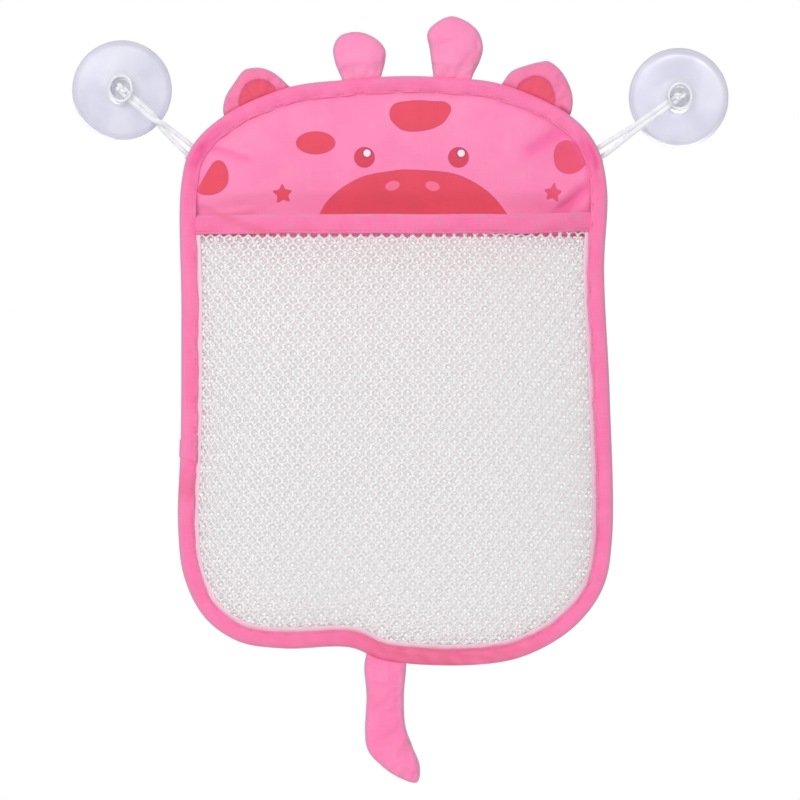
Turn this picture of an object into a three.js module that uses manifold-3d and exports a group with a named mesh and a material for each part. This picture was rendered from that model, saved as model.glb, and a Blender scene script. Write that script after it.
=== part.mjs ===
// A hanging bath toy bag: an animal's head over a net pocket, with ears, horns and a tail,
// which hangs by doubled cords from two suction cups.
// Millimetres, +Z up. The wall that the cups hold is the plane y = 0, and the bag's front faces -Y.
// The origin lies on the wall, midway between the two cups' centres.
import * as THREE from "three";
import { mergeVertices } from "three/addons/utils/BufferGeometryUtils.js";
import Module from "manifold-3d";

const wasm = await Module();
wasm.setup();

// Driving dimensions
const GAP = 0.3; // between two layers of cloth, and between any two touching pieces
const CLOTH = 0.5; // thickness of one layer of fabric or net
const TAPE = 0.6; // thickness of the binding tape
const TAPE_WIDTH = 10;
const TAPE_FOLD = 1.4; // size of the slope that stands for the fold's rounded corner
const TAPE_LAP = 14; // length of the binding's overlapped join
const TAPE_LAP_Z = -213;
const TAPE_BACK = -5; // the back of the binding, in front of the wall
const SEAM = 3; // how far inside the bag's edge each panel's own edge lies

const MOUTH_Z = -73.7; // top of the pocket's band
const BAND_WIDTH = 11.2;
const MOUTH_BOW = 24; // how far the mouth stands open in the middle
const POCKET_FULLNESS = 0.2; // extra bulge for each millimetre below the mouth
const HEAD_HEM_Z = -92; // lower edge of the head's two panels
const NET_TOP_Z = -83; // top edge of the back net, sewn between those panels

const GAP_PITCH = 22; // the nets' gaps, side to side
const GAP_ROUND = 8.8; // radius of one gap
const NET_MARGIN = 0.6;

const STUFFED_Y = -8.2; // middle plane of the ears, horns and tail
const HINGE_GAP = 0.8; // between the binding and the foot of each stuffed piece

const CUP_RADIUS = 30;
const CUP_X = 167.4;
const CUP_RISE = 2.3; // the left cup sits this far above the middle, the right one as far below
const KNOB_TALL = 1.13; // the knob's height over its width
const KNOT_HEIGHT = 12.4; // the knot's centre, in front of the wall
const SIDE_HOLE = 3.4; // radius of the hole through the knob's wall
const CORD_RADIUS = 1.4;
const CORD_STEPS = 14;
const STRAND_APART_AT_CUP = 1.5; // half the distance between a cord's two strands
const STRAND_APART_AT_BAG = 2.75;
const KNOT_LENGTH = 8.8;
const KNOT_WIDTH = 6.8;
const LEFT_CORD_AT = [-127.7, -32.9]; // where each cord crosses the bag's edge, as x and z
const RIGHT_CORD_AT = [120.7, -34.8];
const SEWN_LENGTH = 8; // of cord behind the binding
const TACK_INSIDE = 3.5; // from the bag's edge to the bar tack that sews the cord down
const TACK_WIDTH = 2.2;
const TACK_LENGTH = 11;

// Layers of the sewn edge, from the wall outwards
const LINING_BACK = TAPE_BACK - TAPE - GAP;
const NET_BACK = LINING_BACK - CLOTH - GAP;
const FACE_BACK = NET_BACK - CLOTH - GAP;
const BAND_BACK = FACE_BACK - CLOTH - GAP;
const POCKET_BACK = BAND_BACK - CLOTH - GAP;
const BAND_FRONT = POCKET_BACK - 2 * CLOTH - GAP;
const TAPE_FRONT = BAND_FRONT - GAP - TAPE;
const POCKET_Y = POCKET_BACK - CLOTH / 2;
const CORD_Y = TAPE_BACK + GAP + CORD_RADIUS;

const colours = {
  print: [0xf5a0c8, 0.85],
  pink: [0xf06fae, 0.8],
  net: [0xece6e4, 0.7],
  wadding: [0xf4f2ee, 0.95],
  cord: [0xf0f0ee, 0.75],
  vinyl: [0xdcdcea, 0.15],
};

const part = new THREE.Group();

// Adds a named mesh in one of the colours.
function place(name, geometry, colour, clear = false) {
  const [hex, roughness] = colours[colour];
  const material = new THREE.MeshStandardMaterial({ color: hex, roughness, metalness: 0 });
  if (clear) Object.assign(material, { transparent: true, opacity: 0.55 });
  const mesh = new THREE.Mesh(geometry, material);
  mesh.name = name;
  part.add(mesh);
  return mesh;
}

// A closed geometry as a solid that can be joined and cut.
function solid(geometry) {
  const bare = geometry.clone();
  bare.deleteAttribute("normal");
  bare.deleteAttribute("uv");
  const merged = mergeVertices(bare, 1e-3);
  return new wasm.Manifold(
    new wasm.Mesh({
      numProp: 3,
      vertProperties: merged.attributes.position.array,
      triVerts: new Uint32Array(merged.index.array),
    }),
  );
}

function geometryOf(manifold) {
  const mesh = manifold.getMesh();
  const geometry = new THREE.BufferGeometry();
  geometry.setAttribute("position", new THREE.BufferAttribute(mesh.vertProperties, 3));
  geometry.setIndex(new THREE.BufferAttribute(mesh.triVerts, 1));
  return geometry;
}

// A geometry from a list of points and a list of corner numbers.
function meshOf(points, corners) {
  const geometry = new THREE.BufferGeometry();
  const numbers = points.flatMap((p) => p.toArray());
  geometry.setAttribute("position", new THREE.Float32BufferAttribute(numbers, 3));
  geometry.setIndex(corners);
  return geometry;
}

// Rings of points joined one to the next. The ends are filled, or the last ring meets the first.
function loft(rings, joined = false) {
  const count = rings[0].length;
  const corners = [];
  const last = joined ? rings.length : rings.length - 1;
  for (let r = 0; r < last; r++) {
    const here = r * count;
    const next = ((r + 1) % rings.length) * count;
    for (let i = 0; i < count; i++) {
      const j = (i + 1) % count;
      corners.push(here + i, here + j, next + j, here + i, next + j, next + i);
    }
  }
  if (!joined) {
    const end = (rings.length - 1) * count;
    for (const [a, b, c] of fillOf(rings[0])) corners.push(c, b, a);
    for (const [a, b, c] of fillOf(rings.at(-1))) corners.push(end + a, end + b, end + c);
  }
  return meshOf(rings.flat(), corners);
}

// Triangles that fill a flat ring, wound the same way as the ring.
function fillOf(ring) {
  const centre = ring.reduce((sum, p) => sum.add(p), new THREE.Vector3()).divideScalar(ring.length);
  const normal = new THREE.Vector3();
  ring.forEach((p, i) => {
    const q = ring[(i + 1) % ring.length];
    normal.add(p.clone().sub(centre).cross(q.clone().sub(centre)));
  });
  const across = ring[0].clone().sub(centre).normalize();
  const up = normal.normalize().clone().cross(across);
  const flat = ring.map((p) => {
    const d = p.clone().sub(centre);
    return new THREE.Vector2(d.dot(across), d.dot(up));
  });
  return THREE.ShapeUtils.triangulateShape(flat, []);
}

// The sides of triangles that no other triangle shares, each as its first and its last corner.
function openSides(corners) {
  const sides = new Map();
  for (let t = 0; t < corners.length; t += 3) {
    const triangle = corners.slice(t, t + 3);
    triangle.forEach((a, k) => {
      const b = triangle[(k + 1) % 3];
      if (!sides.delete(b + "," + a)) sides.set(a + "," + b, [a, b]);
    });
  }
  return [...sides.values()];
}

// A sheet of cloth: an open surface, thickened half to each side and closed round its rim.
function thicken(points, corners, thickness) {
  const surface = meshOf(points, corners);
  surface.computeVertexNormals();
  const normals = surface.attributes.normal;
  const count = points.length;
  const faces = [0.5, -0.5].map((share) =>
    points.map((p, i) => {
      const n = new THREE.Vector3().fromBufferAttribute(normals, i);
      return p.clone().addScaledVector(n, share * thickness);
    }),
  );
  const all = [...corners, ...corners.map((corner) => corner + count).reverse()];
  for (const [a, b] of openSides(corners)) all.push(a, a + count, b + count, a, b + count, b);
  return meshOf(faces.flat(), all);
}

// The bag's outer edge, seen from the front, from the middle of the top round by the left side
const EDGE_POINTS = [
  [0, 10.3], [-34, 8], [-66, 3.8], [-104, -12.3], [-125, -32], [-131.4, -54], [-131.4, -130],
  [-131.8, -207], [-133.4, -260], [-129.5, -291], [-117, -315], [-97, -329], [-70, -333.2],
  [-30, -332.6], [-10, -340.3], [45, -343], [75, -337.5], [104, -320.5], [121.5, -297],
  [127, -268], [125.6, -180], [122.3, -106], [124, -57], [118, -32], [102.6, -13.9],
  [61, 5.4], [30, 9.3],
];
const EDGE_STEPS = 92;
const edgeCurve = new THREE.CatmullRomCurve3(
  EDGE_POINTS.map(([x, z]) => new THREE.Vector3(x, 0, z)),
  true,
  "centripetal",
);

// Points along the edge, each with the direction that leads inwards.
const edge = Array.from({ length: EDGE_STEPS }, (_, i) => {
  const at = edgeCurve.getPointAt(i / EDGE_STEPS);
  const along = edgeCurve.getTangentAt(i / EDGE_STEPS);
  return { at, inward: new THREE.Vector3(-along.z, 0, along.x) };
});

// The edge moved inwards by a distance, or outwards where it is negative, as x and z.
function edgeInset(distance) {
  return edge.map(({ at, inward }) => {
    const p = at.clone().addScaledVector(inward, distance);
    return new THREE.Vector2(p.x, p.z);
  });
}

// Where the line through two points of an outline crosses a height.
function crossing(p, q, z) {
  return new THREE.Vector2(p.x + ((q.x - p.x) * (z - p.y)) / (q.y - p.y), z);
}

// The two parts of a closed outline that starts at its top: below a height, from left to right,
// and above it, from right to left.
function splitAt(outline, z) {
  const first = outline.findIndex((p) => p.y < z);
  const last = outline.findLastIndex((p) => p.y < z);
  const left = crossing(outline[first - 1], outline[first], z);
  const right = crossing(outline[last], outline[last + 1], z);
  return {
    below: [left, ...outline.slice(first, last + 1), right],
    above: [right, ...outline.slice(last + 1), ...outline.slice(0, first), left],
  };
}

// A flat sheet of cloth with its back at a depth: an outline in x and z, and the gaps in it.
function flatSheet(outline, back, thickness, gaps = []) {
  const shape = new THREE.Shape(outline);
  shape.holes = gaps.map((gap) => new THREE.Path(gap));
  const sheet = new THREE.ExtrudeGeometry(shape, { depth: thickness, bevelEnabled: false });
  return sheet.rotateX(Math.PI / 2).translate(0, back, 0);
}

// A point lies inside an outline if a line to its right crosses the outline an odd number of times.
function inside(p, outline) {
  let within = false;
  outline.forEach((a, i) => {
    const b = outline[(i + 1) % outline.length];
    if (a.y > p.y !== b.y > p.y && p.x < crossing(a, b, p.y).x) within = !within;
  });
  return within;
}

function sixSided(middle, radius) {
  return Array.from({ length: 6 }, (_, k) => {
    const turn = (Math.PI / 3) * (k + 0.5);
    return new THREE.Vector2(middle.x + radius * Math.cos(turn), middle.y + radius * Math.sin(turn));
  });
}

// The middles of a net's gaps, in staggered rows down from the top of an outline. Each gap lies in
// a six-sided cell wholly inside the outline.
const CELL_ROUND = GAP_PITCH / Math.sqrt(3);
function netCells(outline) {
  const { min, max } = new THREE.Box2().setFromPoints(outline);
  const columns = Math.ceil((max.x - min.x) / GAP_PITCH);
  const middles = [];
  for (let row = 0, z = max.y - CELL_ROUND - NET_MARGIN; z > min.y; row++, z -= 1.5 * CELL_ROUND) {
    for (let column = 0; column <= columns; column++) {
      const middle = new THREE.Vector2(min.x + (column + (row % 2) / 2) * GAP_PITCH, z);
      if (sixSided(middle, CELL_ROUND).every((corner) => inside(corner, outline))) middles.push(middle);
    }
  }
  return middles;
}

function headPanels() {
  const outline = splitAt(edgeInset(SEAM), HEAD_HEM_Z).above;
  place("head_lining", flatSheet(outline, LINING_BACK, CLOTH), "pink");
  place("head_front_panel", flatSheet(outline, FACE_BACK, CLOTH), "print");
}

function backNet() {
  const outline = splitAt(edgeInset(SEAM), NET_TOP_Z).below;
  const openPart = splitAt(edgeInset(TAPE_WIDTH + NET_MARGIN), HEAD_HEM_Z - NET_MARGIN).below;
  const gaps = netCells(openPart).map((middle) => sixSided(middle, GAP_ROUND));
  place("back_net", flatSheet(outline, NET_BACK, CLOTH, gaps), "net");
}

// The binding is folded round the raw edge, so its section is a U: a front leg, a fold and a back leg.
function edgeBinding() {
  const rings = edge.map(({ at, inward }) => {
    const lapped = at.x < 0 && Math.abs(at.z - TAPE_LAP_Z) < TAPE_LAP / 2;
    const out = lapped ? TAPE : 0;
    const section = [
      [TAPE_WIDTH + out, TAPE_FRONT - out], [TAPE_FOLD - out, TAPE_FRONT - out],
      [-out, TAPE_FRONT + TAPE_FOLD], [-out, TAPE_BACK - TAPE_FOLD],
      [TAPE_FOLD - out, TAPE_BACK], [TAPE_WIDTH + out, TAPE_BACK],
      [TAPE_WIDTH + out, TAPE_BACK - TAPE], [TAPE_FOLD, TAPE_BACK - TAPE],
      [TAPE_FOLD, TAPE_FRONT + TAPE], [TAPE_WIDTH + out, TAPE_FRONT + TAPE],
    ];
    return section.map(([inwards, y]) => at.clone().addScaledVector(inward, inwards).setY(y));
  });
  place("edge_binding", loft(rings, true), "pink");
}

// The pocket's inner edge along the binding, from left to right, and its mouth in front of the head's hem.
const BAND_FOOT_Z = MOUTH_Z - BAND_WIDTH;
const pocketRim = splitAt(edgeInset(TAPE_WIDTH + GAP), BAND_FOOT_Z - GAP).below;
const pocketFlange = splitAt(edgeInset(SEAM), BAND_FOOT_Z - GAP).below;
const mouthCentre = pocketRim[0].clone().add(pocketRim.at(-1)).divideScalar(2);
const MOUTH_STEPS = 14;

// How far a place lies on the way from the mouth's centre, 0, to the binding, 1.
function pocketShare(place) {
  const reach = place.clone().sub(mouthCentre);
  const rim = pocketRim.map((p) => p.clone().sub(mouthCentre));
  const past = rim.findIndex((p, i) => i > 0 && reach.cross(p) >= 0);
  const [a, b] = past < 0 ? rim.slice(-2) : rim.slice(past - 1, past + 1);
  return Math.min(reach.cross(b.clone().sub(a)) / a.cross(b), 1);
}

// A place in front of the panels on the pocket's middle surface, which rises straight up from its mouth.
function bowedOut(place) {
  const below = new THREE.Vector2(place.x, Math.min(place.y, mouthCentre.y));
  const bow = MOUTH_BOW + POCKET_FULLNESS * (mouthCentre.y - below.y);
  return new THREE.Vector3(place.x, POCKET_Y - bow * (1 - pocketShare(below) ** 3), place.y);
}

// The line of the mouth from left to right.
const mouthLine = [
  pocketFlange[0],
  ...Array.from({ length: MOUTH_STEPS + 1 }, (_, k) =>
    pocketRim[0].clone().lerp(pocketRim.at(-1), k / MOUTH_STEPS),
  ),
  pocketFlange.at(-1),
];

// The net's cells, whole net from them to the binding and the mouth, a flange behind the binding
// and a strip that rises into the band. It is laid out flat, as x and z, and then bowed out.
function pocketNet() {
  const places = [];
  const numbers = new Map();
  const corners = [];
  const numberOf = (p) => {
    const key = [p.x, p.y].map((v) => Math.round(v * 100)).join();
    if (!numbers.has(key)) numbers.set(key, places.push(p) - 1);
    return numbers.get(key);
  };
  // Four-sided faces between two lines, or round between two rings.
  const join = (line, other, round = false) => {
    const [a, b] = [line.map(numberOf), other.map(numberOf)];
    for (let i = round ? 0 : 1; i < a.length; i++) {
      const before = (i || a.length) - 1;
      corners.push(a[before], b[before], b[i], a[before], b[i], a[i]);
    }
  };

  const openPart = splitAt(edgeInset(TAPE_WIDTH + GAP + NET_MARGIN), BAND_FOOT_Z - GAP - NET_MARGIN).below;
  for (const middle of netCells(openPart)) {
    join(sixSided(middle, GAP_ROUND), sixSided(middle, CELL_ROUND), true);
  }
  const rim = [...pocketRim, ...mouthLine.slice(2, -2).toReversed(), pocketRim[0]].map(numberOf);
  const apart = (a, b) => (a === undefined || b === undefined ? Infinity : places[a].distanceTo(places[b]));
  const next = new Map(openSides(corners));
  const first = [...next.keys()].reduce((best, a) => (apart(rim[0], a) < apart(rim[0], best) ? a : best));
  const cellsEdge = [first];
  for (let a = next.get(first); a !== first; a = next.get(a)) cellsEdge.push(a);
  cellsEdge.push(first);
  // Each face between the rim and the cells steps along the one that leaves the shorter side.
  for (let i = 0, j = 0; i + 1 < rim.length || j + 1 < cellsEdge.length; ) {
    if (apart(rim[i + 1], cellsEdge[j]) < apart(rim[i], cellsEdge[j + 1])) {
      corners.push(rim[i], rim[++i], cellsEdge[j]);
    } else {
      corners.push(rim[i], cellsEdge[j + 1], cellsEdge[j++]);
    }
  }

  join(pocketRim, pocketFlange);
  join(mouthLine.map((p) => new THREE.Vector2(p.x, MOUTH_Z - CLOTH - GAP)), mouthLine);
  const net = thicken(places.map((p) => new THREE.Vector3(p.x, 0, p.y)), corners, CLOTH);
  const { array } = net.attributes.position;
  for (let i = 0; i < array.length; i += 3) {
    array[i + 1] += bowedOut(new THREE.Vector2(array[i], array[i + 2])).y;
  }
  place("pocket_net", net, "net");
}

// Tape folded over the net's top edge: its section is an upturned U that follows the mouth's curve.
function pocketBand() {
  const inner = CLOTH / 2 + GAP;
  const outer = inner + CLOTH;
  const top = MOUTH_Z - CLOTH;
  const mouthCurve = mouthLine.map(bowedOut);
  const rings = mouthCurve.map((p, i) => {
    const before = mouthCurve[Math.max(i - 1, 0)];
    const after = mouthCurve[Math.min(i + 1, mouthCurve.length - 1)];
    const along = after.clone().sub(before).normalize();
    const out = new THREE.Vector3(along.y, 0, 0).setY(-along.x);
    const section = [
      [-outer, MOUTH_Z], [outer, MOUTH_Z], [outer, BAND_FOOT_Z], [inner, BAND_FOOT_Z],
      [inner, top], [-inner, top], [-inner, BAND_FOOT_Z], [-outer, BAND_FOOT_Z],
    ];
    return section.map(([reach, z]) => p.clone().addScaledVector(out, reach).setZ(z));
  });
  place("pocket_band", loft(rings), "pink");
}

function openCurve(points) {
  return new THREE.CatmullRomCurve3(points, false, "centripetal");
}

const STUFFED_STEPS = 7;
const STUFFED_SIDES = 10;
const LAST_STEP = 0.985; // the sections stop just short of the tip, where the two side lines meet
const SEAM_FULLNESS = 0.45; // thickness at the foot, as a share of the greatest
const FULL_FROM = 0.45; // share of the length where the thickness is greatest

// A stuffed form between two side lines that start in the seam and meet at the tip.
function stuffedForm({ left, right, depth }, inset) {
  const [leftLine, rightLine] = [left, right].map((line) =>
    openCurve(line.map(([x, z]) => new THREE.Vector3(x, 0, z))),
  );
  const tip = new THREE.Vector3(left.at(-1)[0], 0, left.at(-1)[1]);
  const foot = leftLine.getPoint(0).add(rightLine.getPoint(0)).divideScalar(2);
  const backwards = foot.sub(tip).normalize();
  const rings = Array.from({ length: STUFFED_STEPS + 1 }, (_, k) => {
    const along = 1 - (1 - k / STUFFED_STEPS) ** 1.4; // the sections crowd towards the tip
    const share = Math.min(along, LAST_STEP);
    const a = leftLine.getPoint(share);
    const b = rightLine.getPoint(share);
    const middle = a.clone().add(b).divideScalar(2);
    middle.addScaledVector(backwards, inset * along).setY(STUFFED_Y);
    const half = b.clone().sub(a).divideScalar(2);
    const rise = Math.sin((Math.PI / 2) * Math.min(along / FULL_FROM, 1));
    const swell = SEAM_FULLNESS + (1 - SEAM_FULLNESS) * rise;
    const thick = Math.max(Math.min(depth * swell, 0.2 + 0.85 * half.length()) - inset, 0.2);
    half.setLength(Math.max(half.length() - inset, 0.25));
    return Array.from({ length: STUFFED_SIDES }, (_, i) => {
      const turn = (2 * Math.PI * i) / STUFFED_SIDES;
      const outwards = new THREE.Vector3(0, thick * Math.sin(turn), 0);
      return middle.clone().addScaledVector(half, Math.cos(turn)).add(outwards);
    });
  });
  const form = solid(loft(rings));
  return form.volume() > 0 ? form : solid(loft(rings.toReversed()));
}

// The space that the bag's edge takes, with room for the foot of a stuffed piece to turn.
// It is deeper than any stuffed piece is thick.
function edgeRoom(clearance) {
  const depth = 40;
  return solid(flatSheet(edgeInset(-clearance), STUFFED_Y + depth / 2, depth));
}

const footRoom = edgeRoom(HINGE_GAP);
const waddingRoom = edgeRoom(HINGE_GAP + GAP);

// All that lies in front of a stuffed piece's rim seam, or all that lies behind it.
function halfSpace(front) {
  const size = 1000;
  const box = new THREE.BoxGeometry(size, size, size);
  const y = STUFFED_Y + (front ? -1 : 1) * (size / 2 + GAP / 2);
  return solid(box.translate(0, y, 0));
}

// A front and a back cover sewn together round their rim, with wadding between.
function stuffedPiece(name, lines, frontColour) {
  const shell = stuffedForm(lines, 0).subtract(stuffedForm(lines, CLOTH)).subtract(footRoom);
  const wadding = stuffedForm(lines, CLOTH + GAP).subtract(waddingRoom);
  place(name + "_front", geometryOf(shell.intersect(halfSpace(true))), frontColour);
  place(name + "_back", geometryOf(shell.intersect(halfSpace(false))), "pink");
  place(name + "_wadding", geometryOf(wadding), "wadding");
}

// Side lines of each stuffed piece as x and z, and half its greatest thickness
const LEFT_EAR = {
  left: [[-100, -21], [-106, -13], [-105.2, -3], [-99.5, 6.5], [-93.5, 14], [-87, 15.4]],
  right: [[-60, -2], [-66.8, 4.3], [-72, 9.4], [-77.5, 13.2], [-82.5, 15.1], [-87, 15.4]],
  depth: 4.2,
};
const RIGHT_EAR = {
  left: [[55, -2], [61, 5.8], [66.5, 13], [76.6, 17], [84, 18.8], [88.8, 19.3]],
  right: [[97, -20], [102.4, -12], [103.4, -2.5], [100.6, 6.7], [95.4, 14.6], [88.8, 19.3]],
  depth: 4.2,
};
const LEFT_HORN = {
  left: [[-31.5, -2], [-34.8, 7.7], [-39.4, 19], [-40.2, 27.6], [-36, 34.5], [-25, 36.8]],
  right: [[-13.5, -2], [-11.7, 9], [-9.2, 18.5], [-9, 26], [-14.2, 32.5], [-25, 36.8]],
  depth: 6,
};
const RIGHT_HORN = {
  left: [[21, -2], [19.7, 10.4], [17.6, 26], [16.2, 36], [21.6, 42.4], [31.5, 46.2]],
  right: [[40.5, -2], [43, 9.1], [48.2, 20.5], [49.6, 28], [45.6, 38.6], [31.5, 46.2]],
  depth: 6,
};
const TAIL = {
  left: [
    [-18, -328], [-21.6, -343], [-20.4, -360], [-20, -393], [-11.5, -403.4], [-1, -410.6], [10, -413.6],
  ],
  right: [
    [2, -328], [3.5, -343], [2.2, -362], [3.2, -380], [7.4, -392], [11.8, -404], [10, -413.6],
  ],
  depth: 6.4,
};

// A suction cup about its own axis, in radius and height off the wall, then turned to face out of it.
// Its knob is hollow, and a hole through the knob's wall looks along toBag, an angle in the wall's plane.
function cupBody(toBag) {
  const disc = [
    [0, 3.6], [8, 3.3], [16, 2.5], [24, 1.1], [26.4, 0], [CUP_RADIUS - 0.4, 0], [CUP_RADIUS, 0.5],
    [CUP_RADIUS - 0.3, 1.3], [27, 2.5], [20, 4.3], [12, 6.1], [6.4, 7.2], [0, 7.2],
  ];
  const knob = [
    [0, 5], [6.2, 5], [6.2, 8.2], [7.4, 9], [7.6, 9.8], [7.6, 16.2], [7.2, 17], [6.3, 17], [5.8, 16.2],
    [5.8, 8.6], [0, 8.6],
  ];
  const turned = (profile, segments, tall) => {
    const points = profile.map(([r, h]) => new THREE.Vector2(r, h));
    return solid(new THREE.LatheGeometry(points, segments).scale(1, 1, tall));
  };
  const holeLength = 12;
  const hole = new THREE.CylinderGeometry(SIDE_HOLE, SIDE_HOLE, holeLength, 16)
    .rotateZ(Math.PI / 2)
    .translate(holeLength / 2, KNOT_HEIGHT, 0)
    .rotateY(toBag);
  const cup = turned(disc, 32, 1).add(turned(knob, 22, KNOB_TALL)).subtract(solid(hole));
  return geometryOf(cup).rotateX(Math.PI);
}

// A doubled cord: two strands from the knot in the cup's knob to the back of the binding, where they are
// sewn flat. They leave the knob level, sink to the binding's back, and turn round each other on the way.
function doubledCord(knot, edgePoint, halfTurns) {
  const toBag = edgePoint.clone().sub(knot).setY(0);
  const reach = toBag.length();
  toBag.normalize();
  const across = new THREE.Vector3(-toBag.z, 0, toBag.x);
  const out = new THREE.Vector3(0, 1, 0);
  const sideView = [
    [0, knot.y], [11, knot.y], [30, -8.2], [reach - 8, CORD_Y - 0.4], [reach, CORD_Y],
    [reach + SEWN_LENGTH, CORD_Y],
  ];
  const depth = openCurve(sideView.map(([along, y]) => new THREE.Vector3(along, y, 0)));
  const strandPath = (sign) => {
    const points = Array.from({ length: CORD_STEPS + 1 }, (_, k) => {
      const { x: along, y } = depth.getPoint(k / CORD_STEPS);
      const free = THREE.MathUtils.smoothstep(along, 14, reach - 6);
      const turn = Math.PI * halfTurns * free;
      const apart = sign * THREE.MathUtils.lerp(STRAND_APART_AT_CUP, STRAND_APART_AT_BAG, free ** 2);
      const p = knot.clone().setY(y).addScaledVector(toBag, along);
      p.addScaledVector(across, apart * Math.cos(turn));
      return p.addScaledVector(out, apart * Math.sin(turn));
    });
    return openCurve(points);
  };
  const section = new THREE.Shape(
    Array.from({ length: 8 }, (_, i) => {
      const turn = (Math.PI / 4) * i;
      return new THREE.Vector2(CORD_RADIUS * Math.cos(turn), CORD_RADIUS * Math.sin(turn));
    }),
  );
  const strands = [1, -1].map((sign) => {
    const extrudePath = strandPath(sign);
    return solid(new THREE.ExtrudeGeometry(section, { steps: CORD_STEPS, extrudePath, curveSegments: 1 }));
  });
  const knotForm = new THREE.SphereGeometry(1, 10, 6)
    .scale(KNOT_LENGTH / 2, KNOT_WIDTH / 2, KNOT_WIDTH / 2)
    .rotateY(Math.atan2(-toBag.z, toBag.x))
    .translate(...knot.toArray());
  return geometryOf(strands[0].add(strands[1]).add(solid(knotForm)));
}

// The row of thread that sews a cord down, just inside the bag's edge.
function barTack(edgePoint, toBagAngle) {
  const tack = new THREE.BoxGeometry(TACK_WIDTH, TAPE, TACK_LENGTH);
  const y = CORD_Y + CORD_RADIUS + GAP + TAPE / 2;
  const inwards = new THREE.Vector3(Math.cos(toBagAngle), 0, Math.sin(toBagAngle));
  const at = edgePoint.clone().addScaledVector(inwards, TACK_INSIDE).setY(y);
  return tack.rotateY(-toBagAngle).translate(...at.toArray());
}

function hanger(side, cupX, cupZ, sewnAt, halfTurns) {
  const knot = new THREE.Vector3(cupX, -KNOT_HEIGHT, cupZ);
  const edgePoint = new THREE.Vector3(sewnAt[0], CORD_Y, sewnAt[1]);
  const toBag = Math.atan2(edgePoint.z - cupZ, edgePoint.x - cupX);
  place(side + "_suction_cup", cupBody(toBag).translate(cupX, 0, cupZ), "vinyl", true);
  place(side + "_hanging_cord", doubledCord(knot, edgePoint, halfTurns), "cord");
  place(side + "_bar_tack", barTack(edgePoint, toBag), "cord");
}

headPanels();
backNet();
edgeBinding();
pocketNet();
pocketBand();
stuffedPiece("left_ear", LEFT_EAR, "print");
stuffedPiece("right_ear", RIGHT_EAR, "print");
stuffedPiece("left_horn", LEFT_HORN, "pink");
stuffedPiece("right_horn", RIGHT_HORN, "pink");
stuffedPiece("tail", TAIL, "pink");
hanger("left", -CUP_X, CUP_RISE, LEFT_CORD_AT, 1);
hanger("right", CUP_X, -CUP_RISE, RIGHT_CORD_AT, 0);

export default part;
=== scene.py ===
"""A bath toy bag that hangs from two suction cups: an animal's printed head with ears and horns, over
a net pocket with a tail. Sizes are in millimetres until a mesh is made, which is in metres."""
import math

import bpy
import numpy as np
from mathutils import Matrix, geometry


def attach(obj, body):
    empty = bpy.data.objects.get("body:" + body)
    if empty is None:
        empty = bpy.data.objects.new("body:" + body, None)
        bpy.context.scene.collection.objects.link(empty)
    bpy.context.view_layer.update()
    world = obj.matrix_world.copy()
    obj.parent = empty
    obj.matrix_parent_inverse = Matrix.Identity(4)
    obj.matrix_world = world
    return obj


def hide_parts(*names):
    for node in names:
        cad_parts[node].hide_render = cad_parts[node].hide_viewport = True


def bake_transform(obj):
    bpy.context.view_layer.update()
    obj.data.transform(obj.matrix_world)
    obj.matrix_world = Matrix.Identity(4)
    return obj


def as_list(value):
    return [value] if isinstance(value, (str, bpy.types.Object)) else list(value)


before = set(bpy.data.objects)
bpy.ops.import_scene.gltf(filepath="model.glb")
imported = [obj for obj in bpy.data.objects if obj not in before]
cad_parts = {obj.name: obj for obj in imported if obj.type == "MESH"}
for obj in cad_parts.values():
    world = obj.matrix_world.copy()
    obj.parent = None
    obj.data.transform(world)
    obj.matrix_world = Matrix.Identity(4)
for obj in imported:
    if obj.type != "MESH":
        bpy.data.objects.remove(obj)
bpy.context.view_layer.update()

# Camera. It stands three metres in front of the bag, level with the middle of the picture, and looks
# straight along +Y through a long lens.
MM = 0.001
LENS_LENGTH, SENSOR_WIDTH = 225, 36
CAMERA_PLACE = (-0.2, -3008, -184.1)


def in_scene(name, data):
    """A new object for a mesh, a lamp or the camera, at the origin."""
    made = bpy.data.objects.new(name, data)
    bpy.context.scene.collection.objects.link(made)
    return made


camera = in_scene("camera", bpy.data.cameras.new("camera"))
camera.data.lens, camera.data.sensor_width = LENS_LENGTH, SENSOR_WIDTH
camera.location = [c * MM for c in CAMERA_PLACE]
camera.rotation_euler = (math.pi / 2, 0, 0)
bpy.context.scene.camera = camera

# Hanging cords. Each is white braided polyester cord, doubled: two strands run from a knot in the
# suction cup's knob to the back of the binding, where they are sewn flat.
CORD_RADIUS, CORD_SIDES, CORD_STEP = 1.65, 40, 0.27
BRAID_YARNS, BRAID_PITCH, BRAID_DEPTH, BRAID_TIP = 8, 2.2, 0.17, 0.9
SEWN_LENGTH, CORD_Y = 8, -3.3
# Lengths from the cup's middle: the run inside the knob, where the cord is half-way down, and its last
# stretch before the bag. The strands spread from SPREAD_FROM, and the left pair crosses in HALF_TURN.
KNOB_RUN, HALF_DOWN, LAST_RUN = 11, (30, -8.2), 8
STRAND_APART_AT_CUP, STRAND_APART_AT_BAG, SPREAD_FROM = 1.45, 2.75, 30
HALF_TURN = (21, 37)
KNOT_Y = -12.4
KNOT_LENGTH, KNOT_WIDTH, KNOT_STRAND, KNOT_SIDES, KNOT_UP = 8.6, 6.4, 1.3, 24, (0.1, 0.9, 0.3)
HANGERS = {
    "left": dict(cup=(-167.4, 2.3), sewn_at=(-127.7, -32.9), half_turns=1, knot_tilt=-41.6),
    "right": dict(cup=(167.4, -2.3), sewn_at=(120.7, -34.8), half_turns=0, knot_tilt=8),
}


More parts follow.
